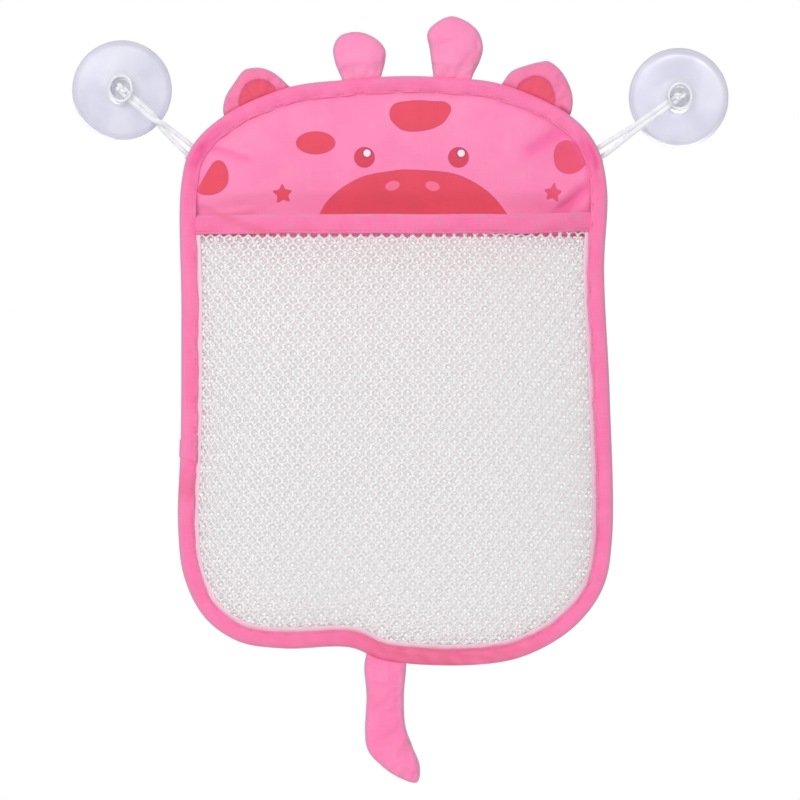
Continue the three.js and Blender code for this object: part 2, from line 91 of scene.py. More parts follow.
def smooth_curve(points, step, closed=False):
    """Points every step along a centripetal Catmull-Rom curve through the points given."""
    p = np.array(points, float)
    before, after = (p[-1:], p[:2]) if closed else (2 * p[:1] - p[1:2], 2 * p[-1:] - p[-2:-1])
    q = np.vstack([before, p, after])
    gaps = np.maximum(np.linalg.norm(np.diff(q, axis=0), axis=1), 1e-6) ** 0.5
    t = np.linspace(0, 1, 40, endpoint=False)[:, None]
    fine = []
    for i in range(len(p) if closed else len(p) - 1):
        (a, b, c, d), (g0, g1, g2) = q[i : i + 4], gaps[i : i + 3]
        leave = g1 * ((b - a) / g0 - (c - a) / (g0 + g1)) + c - b
        reach = g1 * ((d - c) / g2 - (d - b) / (g1 + g2)) + c - b
        fine.append((2 * t**3 - 3 * t**2 + 1) * b + (t**3 - 2 * t**2 + t) * leave
                    + (3 * t**2 - 2 * t**3) * c + (t**3 - t**2) * reach)
    fine = np.vstack([*fine, p[:1] if closed else p[-1:]])
    length = lengths_along(fine)
    even = places_along(fine, np.linspace(0, length[-1], max(round(length[-1] / step), 2) + 1))
    return even[:-1] if closed else even


def lengths_along(line):
    return np.concatenate([[0], np.cumsum(np.linalg.norm(np.diff(line, axis=0), axis=1))])


def places_along(line, at):
    """The points of a line at the given lengths along it."""
    length = lengths_along(line)
    return np.column_stack([np.interp(at, length, line[:, k]) for k in range(line.shape[1])])


def smoothstep(x, low, high):
    t = np.clip((x - low) / (high - low), 0, 1)
    return t * t * (3 - 2 * t)


def directions(line, closed=False):
    """The unit direction of a line at each of its points."""
    along = np.roll(line, -1, 0) - np.roll(line, 1, 0) if closed else np.gradient(line, axis=0)
    return along / np.linalg.norm(along, axis=1)[:, None]


def new_piece(name, points, faces, uv=None, attributes=None):
    """A smooth mesh object from points in millimetres and lists of their numbers. uv is in millimetres
    too, for each face corner, and attributes hold a value for each point."""
    mesh = bpy.data.meshes.new(name)
    mesh.from_pydata((np.asarray(points) * MM).tolist(), [], faces)
    mesh.polygons.foreach_set("use_smooth", [True] * len(mesh.polygons))
    if uv is not None:
        layer = mesh.uv_layers.new(name="cloth")
        layer.uv.foreach_set("vector", (np.asarray(uv, np.float32) * MM).ravel())
    for label, values in (attributes or {}).items():
        mesh.attributes.new(label, "FLOAT", "POINT").data.foreach_set("value", np.float32(values).ravel())
    mesh.validate()
    return in_scene(name, mesh)


def swept(name, rings, along, around, joined=False, open_round=False, attributes=None):
    """Faces between rings of points, with a UV of lengths along the rings' path and round each ring.
    joined closes the path, and open_round leaves each ring open. Open ends of a tube are capped."""
    n, m = rings.shape[:2]
    rows, columns = np.meshgrid(
        np.arange(n if joined else n - 1), np.arange(m - 1 if open_round else m), indexing="ij")
    corners = [(rows, columns), (rows, columns + 1), (rows + 1, columns + 1), (rows + 1, columns)]
    faces = np.stack([(r % n) * m + c % m for r, c in corners], -1).reshape(-1, 4)
    uv = np.stack([np.stack([along[r], around[c]], -1) for r, c in corners], 2).reshape(-1, 2)
    faces = faces.tolist()
    if not joined and not open_round:
        first, last = list(range(m))[::-1], list(range((n - 1) * m, n * m))
        faces += [first, last]
        uv = np.vstack([uv, np.tile([along[0], 0], (m, 1)), np.tile([along[-1], 0], (m, 1))])
    return new_piece(name, rings.reshape(-1, 3), faces, uv, attributes)


def tube(name, line, radius, sides, up=(0, 1, 0)):
    """A round tube along a line. radius is a function of the length along it and the angle round it."""
    along = lengths_along(line)
    forwards = directions(line)
    side = np.cross(forwards, up)
    side /= np.linalg.norm(side, axis=1)[:, None]
    top = np.cross(side, forwards)
    turn = np.linspace(0, 2 * np.pi, sides, endpoint=False)
    r = radius(along[:, None], turn[None])
    rings = line[:, None] + r[..., None] * (
        np.cos(turn)[None, :, None] * side[:, None] + np.sin(turn)[None, :, None] * top[:, None])
    return swept(name, rings, along, np.linspace(0, 2 * np.pi, sides + 1) * float(np.mean(r)))


def braided(along, turn, radius=CORD_RADIUS, end=None):
    """Radius of a braided cord: rows of small bumps, each where one yarn passes over the others. With
    end, the cord's length, both its ends are rounded."""
    bumps = 0.5 + 0.5 * np.cos(BRAID_YARNS * turn) * np.cos(2 * np.pi * along / BRAID_PITCH)
    r = radius - BRAID_DEPTH * (1 - bumps)
    if end is not None:
        nearest = np.minimum(along, end - along) / BRAID_TIP
        r = r * np.sqrt(np.clip(1 - (1 - np.clip(nearest, 0.04, 1)) ** 2, 0, 1))
    return r


def srgb(red, green, blue):
    """A colour as a screen shows it, from 0 to 255, for a shader's socket."""
    channels = np.array([red, green, blue]) / 255
    return (*(float(c / 12.92 if c < 0.04045 else ((c + 0.055) / 1.055) ** 2.4) for c in channels), 1)


def add(tree, kind, inputs=None, **settings):
    """Adds a node with its options, links or sets its inputs by name or number, and gives its outputs."""
    made = tree.nodes.new(kind)
    for key, value in settings.items():
        setattr(made, key, value)
    for key, value in (inputs or {}).items():
        if isinstance(value, bpy.types.NodeSocket):
            tree.links.new(value, made.inputs[key])
        else:
            made.inputs[key].default_value = value
    return made.outputs


def maths(tree, operation, *values):
    return add(tree, "ShaderNodeMath", dict(enumerate(values)), operation=operation)[0]


def step_up(tree, value, low, high, bottom=0.0, top=1.0):
    """Rises smoothly from bottom to top while the value goes from low to high."""
    inputs = {0: value, 1: low, 2: high, 3: bottom, 4: top}
    return add(tree, "ShaderNodeMapRange", inputs, interpolation_type="SMOOTHSTEP")[0]


def mixed(tree, share, first, second):
    return add(tree, "ShaderNodeMix", {0: share, 6: first, 7: second}, data_type="RGBA")[2]


def group_tree(name, kind, inputs, outputs):
    """An empty node group with named sockets, and its two end nodes."""
    tree = bpy.data.node_groups.new(name, kind)
    for in_out, sockets in (("INPUT", inputs), ("OUTPUT", outputs)):
        for label, socket in sockets.items():
            socket, value = socket if isinstance(socket, tuple) else (socket, None)
            made = tree.interface.new_socket(label, in_out=in_out, socket_type="NodeSocket" + socket)
            if value is not None:
                made.default_value = value
    start = tree.nodes.new("NodeGroupInput").outputs
    end = tree.nodes.new("NodeGroupOutput").inputs
    return tree, start, end


def new_material(name, **plain):
    """A material whose shader's own sockets hold the values that are the same all over the surface."""
    made = bpy.data.materials.new(name)
    made.use_nodes = True
    shader = made.node_tree.nodes["Principled BSDF"]
    for label, value in plain.items():
        shader.inputs[label.replace("_", " ")].default_value = value
    return made, made.node_tree, shader.inputs


def use_group(tree, group, **inputs):
    """Places a node group, links or sets its inputs by their sockets' names, and gives its outputs."""
    made = tree.nodes.new("ShaderNodeGroup")
    made.node_tree = group
    for label, value in inputs.items():
        if isinstance(value, bpy.types.NodeSocket):
            tree.links.new(value, made.inputs[label])
        else:
            made.inputs[label].default_value = value
    return made.outputs


def bumpy(tree, shader, height, strength, depth):
    """Small relief on a surface, as deep as depth in millimetres."""
    inputs = {"Strength": strength, "Distance": depth * MM, "Height": height}
    tree.links.new(add(tree, "ShaderNodeBump", inputs)[0], shader["Normal"])


# Yarn: fine filaments that run along a cord, with slow changes of tone.
yarn, yarn_in, yarn_out = group_tree(
    "yarn", "ShaderNodeTree",
    {"Vector": "Vector", "Filament": ("Float", 0.00012), "Lean": ("Float", 0.0)},
    {"Height": "Float", "Tone": "Float"})
yarn_at = add(yarn, "ShaderNodeSeparateXYZ", {0: yarn_in["Vector"]})
yarn_across = maths(yarn, "ADD", yarn_at[1], maths(yarn, "MULTIPLY", yarn_at[0], yarn_in["Lean"]))
yarn_cell = add(yarn, "ShaderNodeCombineXYZ", {
    0: maths(yarn, "DIVIDE", maths(yarn, "MULTIPLY", yarn_at[0], 0.12), yarn_in["Filament"]),
    1: maths(yarn, "DIVIDE", yarn_across, yarn_in["Filament"])})[0]
for label, where, scale in (("Height", yarn_cell, 0.8), ("Tone", yarn_in["Vector"], 160.0)):
    noise = add(yarn, "ShaderNodeTexNoise", {"Vector": where, "Scale": scale, "Detail": 2.0})[0]
    yarn.links.new(noise, yarn_out[label])


def yarn_material(name, pale, shaded, lean):
    """Bright polyester yarn, a little darker in the grooves and here and there along it."""
    made, tree, shader = new_material(name, Roughness=0.62, Sheen_Weight=0.25, Sheen_Roughness=0.4)
    uv = add(tree, "ShaderNodeUVMap", uv_map="cloth")[0]
    of_yarn = use_group(tree, yarn, Vector=uv, Lean=lean)
    share = maths(tree, "ADD", maths(tree, "MULTIPLY", of_yarn["Height"], 0.5),
                  maths(tree, "MULTIPLY", of_yarn["Tone"], 0.5))
    bright = step_up(tree, share, 0.3, 0.62)
    tree.links.new(mixed(tree, bright, srgb(*shaded), srgb(*pale)), shader["Base Color"])
    bumpy(tree, shader, of_yarn["Height"], 0.5, 0.08)
    return made


def way_to_bag(hanger):
    """The way from the cup to where its cord is sewn on, how far that is, and the way across it."""
    (cup_x, cup_z), (sewn_x, sewn_z) = hanger["cup"], hanger["sewn_at"]
    way = np.array([sewn_x - cup_x, 0, sewn_z - cup_z])
    reach = np.linalg.norm(way)
    way /= reach
    return way, reach, np.array([-way[2], 0, way[0]])


cord_yarn = yarn_material("cord_yarn", (244, 245, 249), (226, 228, 236), lean=0.8)
for side, hanger in HANGERS.items():
    (cup_x, cup_z), (sewn_x, sewn_z) = hanger["cup"], hanger["sewn_at"]
    to_bag, reach, across = way_to_bag(hanger)
    side_view = smooth_curve(
        [(0, KNOT_Y), (KNOB_RUN, KNOT_Y), HALF_DOWN, (reach - LAST_RUN, CORD_Y - 0.4), (reach, CORD_Y),
         (reach + SEWN_LENGTH, CORD_Y)], CORD_STEP)
    from_cup = side_view[:, 0]
    turn = np.pi * hanger["half_turns"] * smoothstep(from_cup, *HALF_TURN)
    spread = (STRAND_APART_AT_BAG - STRAND_APART_AT_CUP) * smoothstep(from_cup, SPREAD_FROM, reach)
    apart = STRAND_APART_AT_CUP + spread

    # The knot: one tight overhand turn of the same cord, too big to slip out through the knob's hole.
    # It is a trefoil curve, divided by how far it reaches each way.
    t = np.linspace(0, 2 * np.pi, 90)
    loop = np.column_stack([(np.sin(t) + 2 * np.sin(2 * t)) / 2.76, -np.sin(3 * t),
                            (np.cos(t) - 2 * np.cos(2 * t)) / 3])
    loop *= np.array([KNOT_LENGTH, KNOT_WIDTH, KNOT_WIDTH]) / 2 - KNOT_STRAND
    tilt = math.radians(hanger["knot_tilt"])
    c, s = math.cos(tilt), math.sin(tilt)
    loop[:, [0, 2]] = loop[:, [0, 2]] @ [[c, s], [-s, c]]
    knot = tube(side + "_knot", loop + [cup_x, KNOT_Y, cup_z],
                lambda along, turn: braided(along, turn, KNOT_STRAND), KNOT_SIDES, KNOT_UP)
    knot.data.materials.append(cord_yarn)
    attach(knot, side + "_loop")

    for strand, sign in (("upper", 1), ("lower", -1)):
        line = (np.array([cup_x, 0, cup_z]) + side_view[:, :1] * to_bag
                + (sign * apart * np.cos(turn))[:, None] * across)
        line[:, 1] = side_view[:, 1] + sign * apart * np.sin(turn)
        line = line[::-1]
        long = lengths_along(line)[-1]
        cord = tube(f"{side}_{strand}_cord", line,
                    lambda along, turn: braided(along, turn, end=long), CORD_SIDES)
        cord.data.materials.append(cord_yarn)
        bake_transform(cord)
        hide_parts(side + "_hanging_cord")

# Suction cups. Each is moulded in one piece of clear soft vinyl: a thin dished disc with a hollow oval
# knob, and a hole through the knob's wall for the cord.
CUP_PROFILE = [  # how far from the cup's middle, and how far in front of the wall
    (0, 3.6), (8, 3.3), (16, 2.5), (24, 1.1), (26.4, 0.15), (28.6, 0), (29.7, 0.15), (30, 0.65),
    (29.6, 1.3), (27, 2.45), (20, 4.3), (12, 6.1), (8.8, 7.0), (7.7, 7.8), (7.45, 8.8), (7.6, 10),
    (7.6, 15.9), (7.4, 16.8), (6.75, 17.1), (6.05, 16.8), (5.8, 16), (5.8, 9.4), (5.5, 8.8), (4.8, 8.6),
    (0, 8.6)]
CUP_SEGMENTS, CUP_STEP = 96, 0.7
KNOB_TALL = 1.13
CORD_HOLE, CORD_HOLE_LENGTH = 3.4, 12
# The clear disc in two tones, where the vinyl is thick, the knob, and painted shade in the knob's hollow.
VINYL_SHADED, VINYL_PALE, VINYL_THICK = (214, 214, 231), (226, 226, 239), (218, 218, 229)
VINYL_KNOB, VINYL_HOLLOW_SHADE = (240, 241, 246), (226, 228, 232)
CLEAR_WHERE_THIN, CLEAR_WHERE_THICK = 0.93, 0.4

vinyl, vinyl_tree, vinyl_shader = new_material("clear_vinyl", IOR=1.42, Specular_IOR_Level=0.5)
vinyl_place = add(vinyl_tree, "ShaderNodeTexCoord")["Object"]
vinyl_haze, vinyl_rub = (
    add(vinyl_tree, "ShaderNodeTexNoise", {"Vector": vinyl_place, "Scale": scale, "Detail": detail})[0]
    for scale, detail in ((45.0, 3.0), (90.0, 2.0)))
thick, in_knob, in_hollow = (add(vinyl_tree, "ShaderNodeAttribute", attribute_name=name)["Fac"]
                             for name in ("thick", "knob", "hollow"))
vinyl_colour = mixed(
    vinyl_tree, step_up(vinyl_tree, vinyl_haze, 0.35, 0.65), srgb(*VINYL_SHADED), srgb(*VINYL_PALE))
for share, colour in ((thick, VINYL_THICK), (in_knob, VINYL_KNOB), (in_hollow, VINYL_HOLLOW_SHADE)):
    vinyl_colour = mixed(vinyl_tree, share, vinyl_colour, srgb(*colour))
clearness = step_up(vinyl_tree, thick, 0.0, 1.0, CLEAR_WHERE_THIN, CLEAR_WHERE_THICK)
vinyl_tree.links.new(vinyl_colour, vinyl_shader["Base Color"])
vinyl_tree.links.new(clearness, vinyl_shader["Transmission Weight"])
vinyl_tree.links.new(step_up(vinyl_tree, vinyl_rub, 0.3, 0.7, 0.29, 0.36), vinyl_shader["Roughness"])

for side, hanger in HANGERS.items():
    cup_x, cup_z = hanger["cup"]
    profile = smooth_curve(CUP_PROFILE, CUP_STEP)
    top_side = np.arange(len(profile)) > np.argmax(profile[:, 0])
    tall = 1 + (KNOB_TALL - 1) * np.where(top_side, smoothstep(-profile[:, 0], -13, -8.2), 0)
    turn = np.linspace(0, 2 * np.pi, CUP_SEGMENTS, endpoint=False)
    rings = np.stack([
        cup_x + profile[:, :1] * np.cos(turn), -profile[:, 1:] + 0 * turn,
        cup_z + profile[:, :1] * tall[:, None] * np.sin(turn)], -1)[1:-1]
    radius, height = profile[1:-1].T
    moulded = {"thick": np.maximum(smoothstep(height, 5.4, 7.4), 0.7 * smoothstep(radius, 25.5, 27.5)),
               "knob": smoothstep(height, 8, 10),
               "hollow": smoothstep(-radius, -6.1, -5.7) * (height > 8.3)}
    cup = swept(side + "_suction_cup_vinyl", rings, lengths_along(profile[1:-1]),
                np.linspace(0, 90, CUP_SEGMENTS + 1),
                attributes={name: np.repeat(share, CUP_SEGMENTS) for name, share in moulded.items()})
    to_bag = way_to_bag(hanger)[0]
    bpy.ops.mesh.primitive_cylinder_add(vertices=48, radius=CORD_HOLE * MM, depth=CORD_HOLE_LENGTH * MM)
    hole = bpy.context.object
    hole.rotation_euler = (0, math.pi / 2 - math.atan2(to_bag[2], to_bag[0]), 0)
    hole.location = (np.array([cup_x, KNOT_Y, cup_z]) + CORD_HOLE_LENGTH / 2 * to_bag) * MM
    cut = cup.modifiers.new("cord_hole", "BOOLEAN")
    cut.operation, cut.solver, cut.object = "DIFFERENCE", "EXACT", hole
    cup.data = bpy.data.meshes.new_from_object(cup.evaluated_get(bpy.context.evaluated_depsgraph_get()))
    cup.modifiers.clear()
    bpy.data.objects.remove(hole)
    cup.data.set_sharp_from_angle(angle=math.radians(40))
    cup.data.materials.clear()
    cup.data.materials.append(vinyl)
    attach(cup, side + "_cup")
    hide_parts(side + "_suction_cup")

# Bar tacks. White thread is sewn to and fro over each doubled cord, just inside the bag's edge, and
# goes down into the binding on both sides of it.
TACK_INSIDE, TACK_WIDTH, TACK_LENGTH, TACK_Y = 3.5, 2.2, 11, -1.35
TACK_LEVEL = (4, 5.5)  # how far from its middle it lies on the cord, and where it is down on the binding
TACK_SPACING, TACK_THREAD, TACK_LEAN = 0.34, 0.42, 83
BINDING_BACK_Y = -4.9

stitching, made_in, made_out = group_tree(
    "stitches", "GeometryNodeTree",
    {"Geometry": "Geometry", "Spacing": ("Float", 0.003), "Length": ("Float", 0.0025),
     "Thickness": ("Float", 0.0004), "Lean": ("Float", 0.0), "Seed": ("Int", 1), "Material": "Material"},
    {"Geometry": "Geometry"})
seam_line = add(stitching, "GeometryNodeResampleCurve", {
    "Curve": add(stitching, "GeometryNodeMeshToCurve", {0: made_in["Geometry"]})[0],
    "Length": made_in["Spacing"]}, mode="LENGTH")[0]
thread = add(stitching, "GeometryNodeMeshUVSphere", {"Segments": 8, "Rings": 5, "Radius": 0.5})[0]
thread = add(stitching, "GeometryNodeTransform", {
    "Geometry": thread, "Scale": add(stitching, "ShaderNodeCombineXYZ", {
        0: made_in["Length"], 1: made_in["Thickness"], 2: made_in["Thickness"]})[0]})[0]
along_seam = add(stitching, "FunctionNodeAlignRotationToVector", {
    "Vector": add(stitching, "GeometryNodeInputTangent")[0]}, axis="X")[0]
facing = add(
    stitching, "GeometryNodeInputNamedAttribute", {"Name": "facing"}, data_type="FLOAT_VECTOR")[0]
upright = add(stitching, "FunctionNodeAlignRotationToVector", {
    "Rotation": along_seam, "Vector": facing}, axis="Z", pivot_axis="X")[0]
wander = add(stitching, "FunctionNodeRandomValue", {2: -0.05, 3: 0.05, "Seed": made_in["Seed"]})[1]
leaning = add(stitching, "FunctionNodeRotateRotation", {
    "Rotation": upright, "Rotate By": add(stitching, "ShaderNodeCombineXYZ", {
        2: maths(stitching, "ADD", made_in["Lean"], wander)})[0]}, rotation_space="LOCAL")[0]
sewn = add(stitching, "GeometryNodeInstanceOnPoints", {
    "Points": seam_line, "Instance": thread, "Rotation": leaning})[0]
sewn = add(stitching, "GeometryNodeRealizeInstances", {0: sewn})[0]
sewn = add(stitching, "GeometryNodeSetShadeSmooth", {0: sewn})[0]
sewn = add(stitching, "GeometryNodeSetMaterial", {0: sewn, "Material": made_in["Material"]})[0]
stitching.links.new(sewn, made_out["Geometry"])


def grown(name, guide, tree, inputs):
    """Runs a geometry tree on a guide object, keeps what it makes as a plain mesh and drops the guide."""
    run = guide.modifiers.new("grow", "NODES")
    run.node_group = tree
    for item in tree.interface.items_tree:
        if item.in_out == "INPUT" and item.name in inputs:
            run[item.identifier] = inputs[item.name]
    made = bpy.data.meshes.new_from_object(guide.evaluated_get(bpy.context.evaluated_depsgraph_get()))
    bpy.data.objects.remove(guide)
    made.name = name
    return in_scene(name, made)


def stitches(name, line, facing, thread, spacing, length, thickness, lean=0.0, closed=False, seed=1):
    """A row of stitches along a line. facing is the way out of the cloth, for each point of the line."""
    count = len(line)
    edges = [(i, (i + 1) % count) for i in range(count if closed else count - 1)]
    mesh = bpy.data.meshes.new(name)
    mesh.from_pydata((line * MM).tolist(), edges, [])
    out = mesh.attributes.new("facing", "FLOAT_VECTOR", "POINT")
    out.data.foreach_set("vector", np.broadcast_to(np.float32(facing), line.shape).ravel())
    return grown(name, in_scene(name + "_guide", mesh), stitching, {
        "Spacing": spacing * MM, "Length": length * MM, "Thickness": thickness * MM, "Lean": lean,
        "Seed": seed, "Material": thread})


def thread_material(name, colour):
    made, tree, shader = new_material(name, Roughness=0.5, Sheen_Weight=0.2)
    place = add(tree, "ShaderNodeTexCoord")["Object"]
    ply = add(tree, "ShaderNodeTexNoise", {"Vector": place, "Scale": 2600.0, "Detail": 2.0})[0]
    bright, darker = step_up(tree, ply, 0.35, 0.6), (c * 0.82 for c in colour)
    tree.links.new(mixed(tree, bright, srgb(*darker), srgb(*colour)), shader["Base Color"])
    bumpy(tree, shader, ply, 0.4, 0.05)
    return made


white_thread = thread_material("white_thread", (243, 243, 247))
for side, hanger in HANGERS.items():
    sewn_x, sewn_z = hanger["sewn_at"]
    inwards, _, across = way_to_bag(hanger)
    at = np.linspace(-TACK_LENGTH / 2, TACK_LENGTH / 2, 60)
    line = np.array([sewn_x, TACK_Y, sewn_z]) + inwards * TACK_INSIDE + at[:, None] * across
    line[:, 1] -= smoothstep(np.abs(at), *TACK_LEVEL) * (TACK_Y - BINDING_BACK_Y)
    tack = stitches(side + "_tack_thread", line, (0, 1, 0), white_thread, TACK_SPACING, TACK_WIDTH + 0.4,
                    TACK_THREAD, lean=math.radians(TACK_LEAN), seed=5)
    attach(tack, "bag")
    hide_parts(side + "_bar_tack")

# Head. Its front is woven polyester with a giraffe's face printed in red, and a plain lining lies
# behind it. Both are sewn into the binding and end in a hem behind the pocket's mouth.
BAG_EDGE = [
    (0, 10.3), (-34, 8), (-66, 3.8), (-104, -12.3), (-125, -32), (-131.4, -54), (-131.4, -130),
    (-131.8, -207), (-133.4, -260), (-129.5, -291), (-117, -315), (-97, -329), (-70, -333.2),
    (-30, -332.6), (-10, -340.3), (45, -343), (75, -337.5), (104, -320.5), (121.5, -297), (127, -268),
    (125.6, -180), (122.3, -106), (124, -57), (118, -32), (102.6, -13.9), (61, 5.4), (30, 9.3)]
EDGE_STEP = 0.5
TAPE_WIDTH, SEAM = 10, 3
HEAD_HEM_Z = -86
LINING_Y, FACE_Y = -6.15, -7.75
CLOTH = 0.4
bag_edge = smooth_curve(BAG_EDGE, EDGE_STEP, closed=True)
edge_along = directions(bag_edge, closed=True)
edge_inward = np.column_stack([-edge_along[:, 1], edge_along[:, 0]])


def edge_inset(distance):
    return bag_edge + distance * edge_inward


def above(outline, z):
    """The part of a closed outline above a height, closed along that height."""
    kept = np.roll(outline, -int(np.argmin(outline[:, 1])), 0)
    kept = kept[kept[:, 1] > z]
    return np.vstack([kept, [kept[-1, 0], z], [kept[0, 0], z]])


def below(outline, z):
    """The part of a closed outline below a height, closed along that height."""
    kept = np.roll(outline, -int(np.argmax(outline[:, 1])), 0)
    kept = kept[kept[:, 1] < z]
    return np.vstack([kept, [kept[-1, 0], z], [kept[0, 0], z]])


def distance_inside(points, outline):
    """How far each point lies inside a closed outline, in millimetres, and negative outside it."""
    a = np.asarray(outline, float)
    b = np.roll(a, -1, 0)
    p = np.asarray(points, float)
    nearest = np.full(len(p), np.inf)
    crossings = np.zeros(len(p), int)
    for (ax, az), (bx, bz) in zip(a, b):
        dx, dz = bx - ax, bz - az
        t = np.clip(((p[:, 0] - ax) * dx + (p[:, 1] - az) * dz) / max(dx * dx + dz * dz, 1e-9), 0, 1)
        nearest = np.minimum(nearest, np.hypot(p[:, 0] - ax - t * dx, p[:, 1] - az - t * dz))
        if az != bz:
            level = (az > p[:, 1]) != (bz > p[:, 1])
            crossings += level & (p[:, 0] < ax + (p[:, 1] - az) * dx / dz)
    return np.where(crossings % 2 == 1, nearest, -nearest)


def filled(outline, pitch):
    """Points and triangles of about one size that fill an outline."""
    ring = np.vstack([outline, outline[:1]])
    long = lengths_along(ring)[-1]
    rim = places_along(ring, np.linspace(0, long, int(long / pitch) + 1))[:-1]
    low, high = rim.min(0), rim.max(0)
    rows = []
    for i, z in enumerate(np.arange(low[1], high[1], pitch * 0.866)):
        row = np.arange(low[0] + pitch / 2 * (i % 2), high[0], pitch)
        rows.append(np.column_stack([row, np.full(len(row), z)]))
    grid = np.vstack(rows)
    grid = grid[distance_inside(grid, rim) > pitch * 0.55]
    points = np.vstack([rim, grid])
    found = geometry.delaunay_2d_cdt(points.tolist(), [], [list(range(len(rim)))], 1, 1e-6)
    return np.array([tuple(v) for v in found[0]]), np.array(found[2])


def ripple(x, z, size, seed):
    """A smooth random field, from about -1 to 1, whose hills are about size across: a sum of seven
    waves in random directions."""
    draw = np.random.default_rng(seed)
    total, waves = 0, 7
    for _ in range(waves):
        (way, phase), grow = draw.uniform(0, 2 * np.pi, 2), draw.uniform(0.7, 1.5)
        total = total + np.sin((x * math.cos(way) + z * math.sin(way)) * np.pi * grow / size + phase)
    return total / waves**0.5 / 1.3


def facing_front(at, triangles):
    """Triangles between points in x and z, each turned so that it faces the front, along -Y."""
    a, b, c = (at[triangles[:, k]] for k in range(3))
    turned = ((b - a)[:, 0] * (c - a)[:, 1] - (b - a)[:, 1] * (c - a)[:, 0]) < 0
    return np.where(turned[:, None], triangles[:, ::-1], triangles)


def cloth_piece(name, at, y, triangles, attributes=None):
    """A sheet of cloth from points in x and z and a depth for each. Its UV is x and z."""
    fronts = facing_front(at, triangles)
    points = np.column_stack([at[:, 0], y, at[:, 1]])
    return new_piece(name, points, fronts.tolist(), at[fronts.ravel()], attributes)


# Woven cloth: plain weave, one yarn over and one under, whose yarns differ a little in tone.
weave, weave_in, weave_out = group_tree(
    "woven_cloth", "ShaderNodeTree", {"Vector": "Vector", "Yarn": ("Float", 0.0004)},
    {"Height": "Float", "Tone": "Float", "Blotch": "Float"})
weave_at = add(weave, "ShaderNodeSeparateXYZ", {
    0: add(weave, "ShaderNodeVectorMath", {0: weave_in["Vector"], 1: add(weave, "ShaderNodeCombineXYZ", {
        0: weave_in["Yarn"], 1: weave_in["Yarn"], 2: weave_in["Yarn"]})[0]}, operation="DIVIDE")[0]})
across_warp, across_weft = (
    maths(weave, "SINE", maths(weave, "MULTIPLY", weave_at[k], math.pi)) for k in (0, 1))
over = maths(weave, "MULTIPLY", across_warp, across_weft)
warp_on_top = step_up(weave, over, -0.15, 0.15)
warp_round, weft_round = maths(weave, "ABSOLUTE", across_warp), maths(weave, "ABSOLUTE", across_weft)
lying = maths(weave, "ADD", maths(weave, "MULTIPLY", warp_on_top, warp_round),
              maths(weave, "MULTIPLY", maths(weave, "SUBTRACT", 1.0, warp_on_top), weft_round))
weave.links.new(
    maths(weave, "MULTIPLY", lying, maths(weave, "ADD", 0.55, maths(
        weave, "MULTIPLY", maths(weave, "ABSOLUTE", over), 0.45))), weave_out["Height"])
streaks = [
    add(weave, "ShaderNodeTexNoise", {
        "Vector": add(weave, "ShaderNodeCombineXYZ", {
            0: maths(weave, "MULTIPLY", weave_at[0], a), 1: maths(weave, "MULTIPLY", weave_at[1], b)})[0],
        "Scale": 1.0, "Detail": 1.0})[0] for a, b in ((0.9, 0.02), (0.02, 0.9))]
weave.links.new(maths(weave, "MULTIPLY", maths(weave, "ADD", *streaks), 0.5), weave_out["Tone"])
blotch = add(weave, "ShaderNodeTexNoise", {
    "Vector": weave_in["Vector"], "Scale": 38.0, "Detail": 3.0, "Roughness": 0.55})[0]
weave.links.new(blotch, weave_out["Blotch"])

# A print's edge: its colour's red, green and blue there, over those further in.
INK_RIM = (0.9, 1.02, 1.12)


def cloth_material(name, colour, deep, yarn_width=0.0004, prints=(), **painted_light):
    """Woven polyester. deep is its colour between the yarns and in its darker blotches. Each print is
    a colour, the name of the attribute that holds the distance inside its outline, and whether it is
    darker along that. The other keywords give colours of painted shade and sheen, used where the
    attributes of the same names are 1."""
    made, tree, shader = new_material(
        name, Roughness=0.78, Sheen_Weight=0.3, Sheen_Roughness=0.45, Specular_IOR_Level=0.3)
    uv = add(tree, "ShaderNodeUVMap", uv_map="cloth")[0]
    cloth = use_group(tree, weave, Vector=uv, Yarn=yarn_width)
    tone = maths(tree, "ADD", maths(tree, "MULTIPLY", cloth["Height"], 0.35),
                 maths(tree, "ADD", maths(tree, "MULTIPLY", cloth["Tone"], 0.4),
                       maths(tree, "MULTIPLY", cloth["Blotch"], 0.6)))
    bright = step_up(tree, tone, 0.42, 0.9)
    result = mixed(tree, bright, srgb(*deep), srgb(*colour))
    for print_colour, label, rimmed in prints:
        distance = add(tree, "ShaderNodeAttribute", attribute_name=label)["Fac"]
        frayed = maths(tree, "ADD", distance, maths(tree, "MULTIPLY", maths(
            tree, "SUBTRACT", cloth["Tone"], 0.5), 0.5))
        ink = step_up(tree, frayed, -0.16, 0.16)
        inked = mixed(tree, bright, srgb(*(c * 0.93 for c in print_colour)), srgb(*print_colour))
        if rimmed:
            rim = step_up(tree, distance, 0.1, 1.9, 0.55, 0.0)
            inked = mixed(tree, rim, inked, srgb(*np.multiply(print_colour, INK_RIM)))
        result = mixed(tree, ink, result, inked)
    # Painted shade and sheen, mixed in where each attribute of the same name is 1.
    for label, shading in painted_light.items():
        share = add(tree, "ShaderNodeAttribute", attribute_name=label)["Fac"]
        result = mixed(tree, maths(tree, "MULTIPLY", share, maths(tree, "ADD", 0.6, maths(
            tree, "MULTIPLY", cloth["Tone"], 0.8))), result, srgb(*shading))
    tree.links.new(result, shader["Base Color"])
    bumpy(tree, shader, cloth["Height"], 0.35, 0.1)
    return made


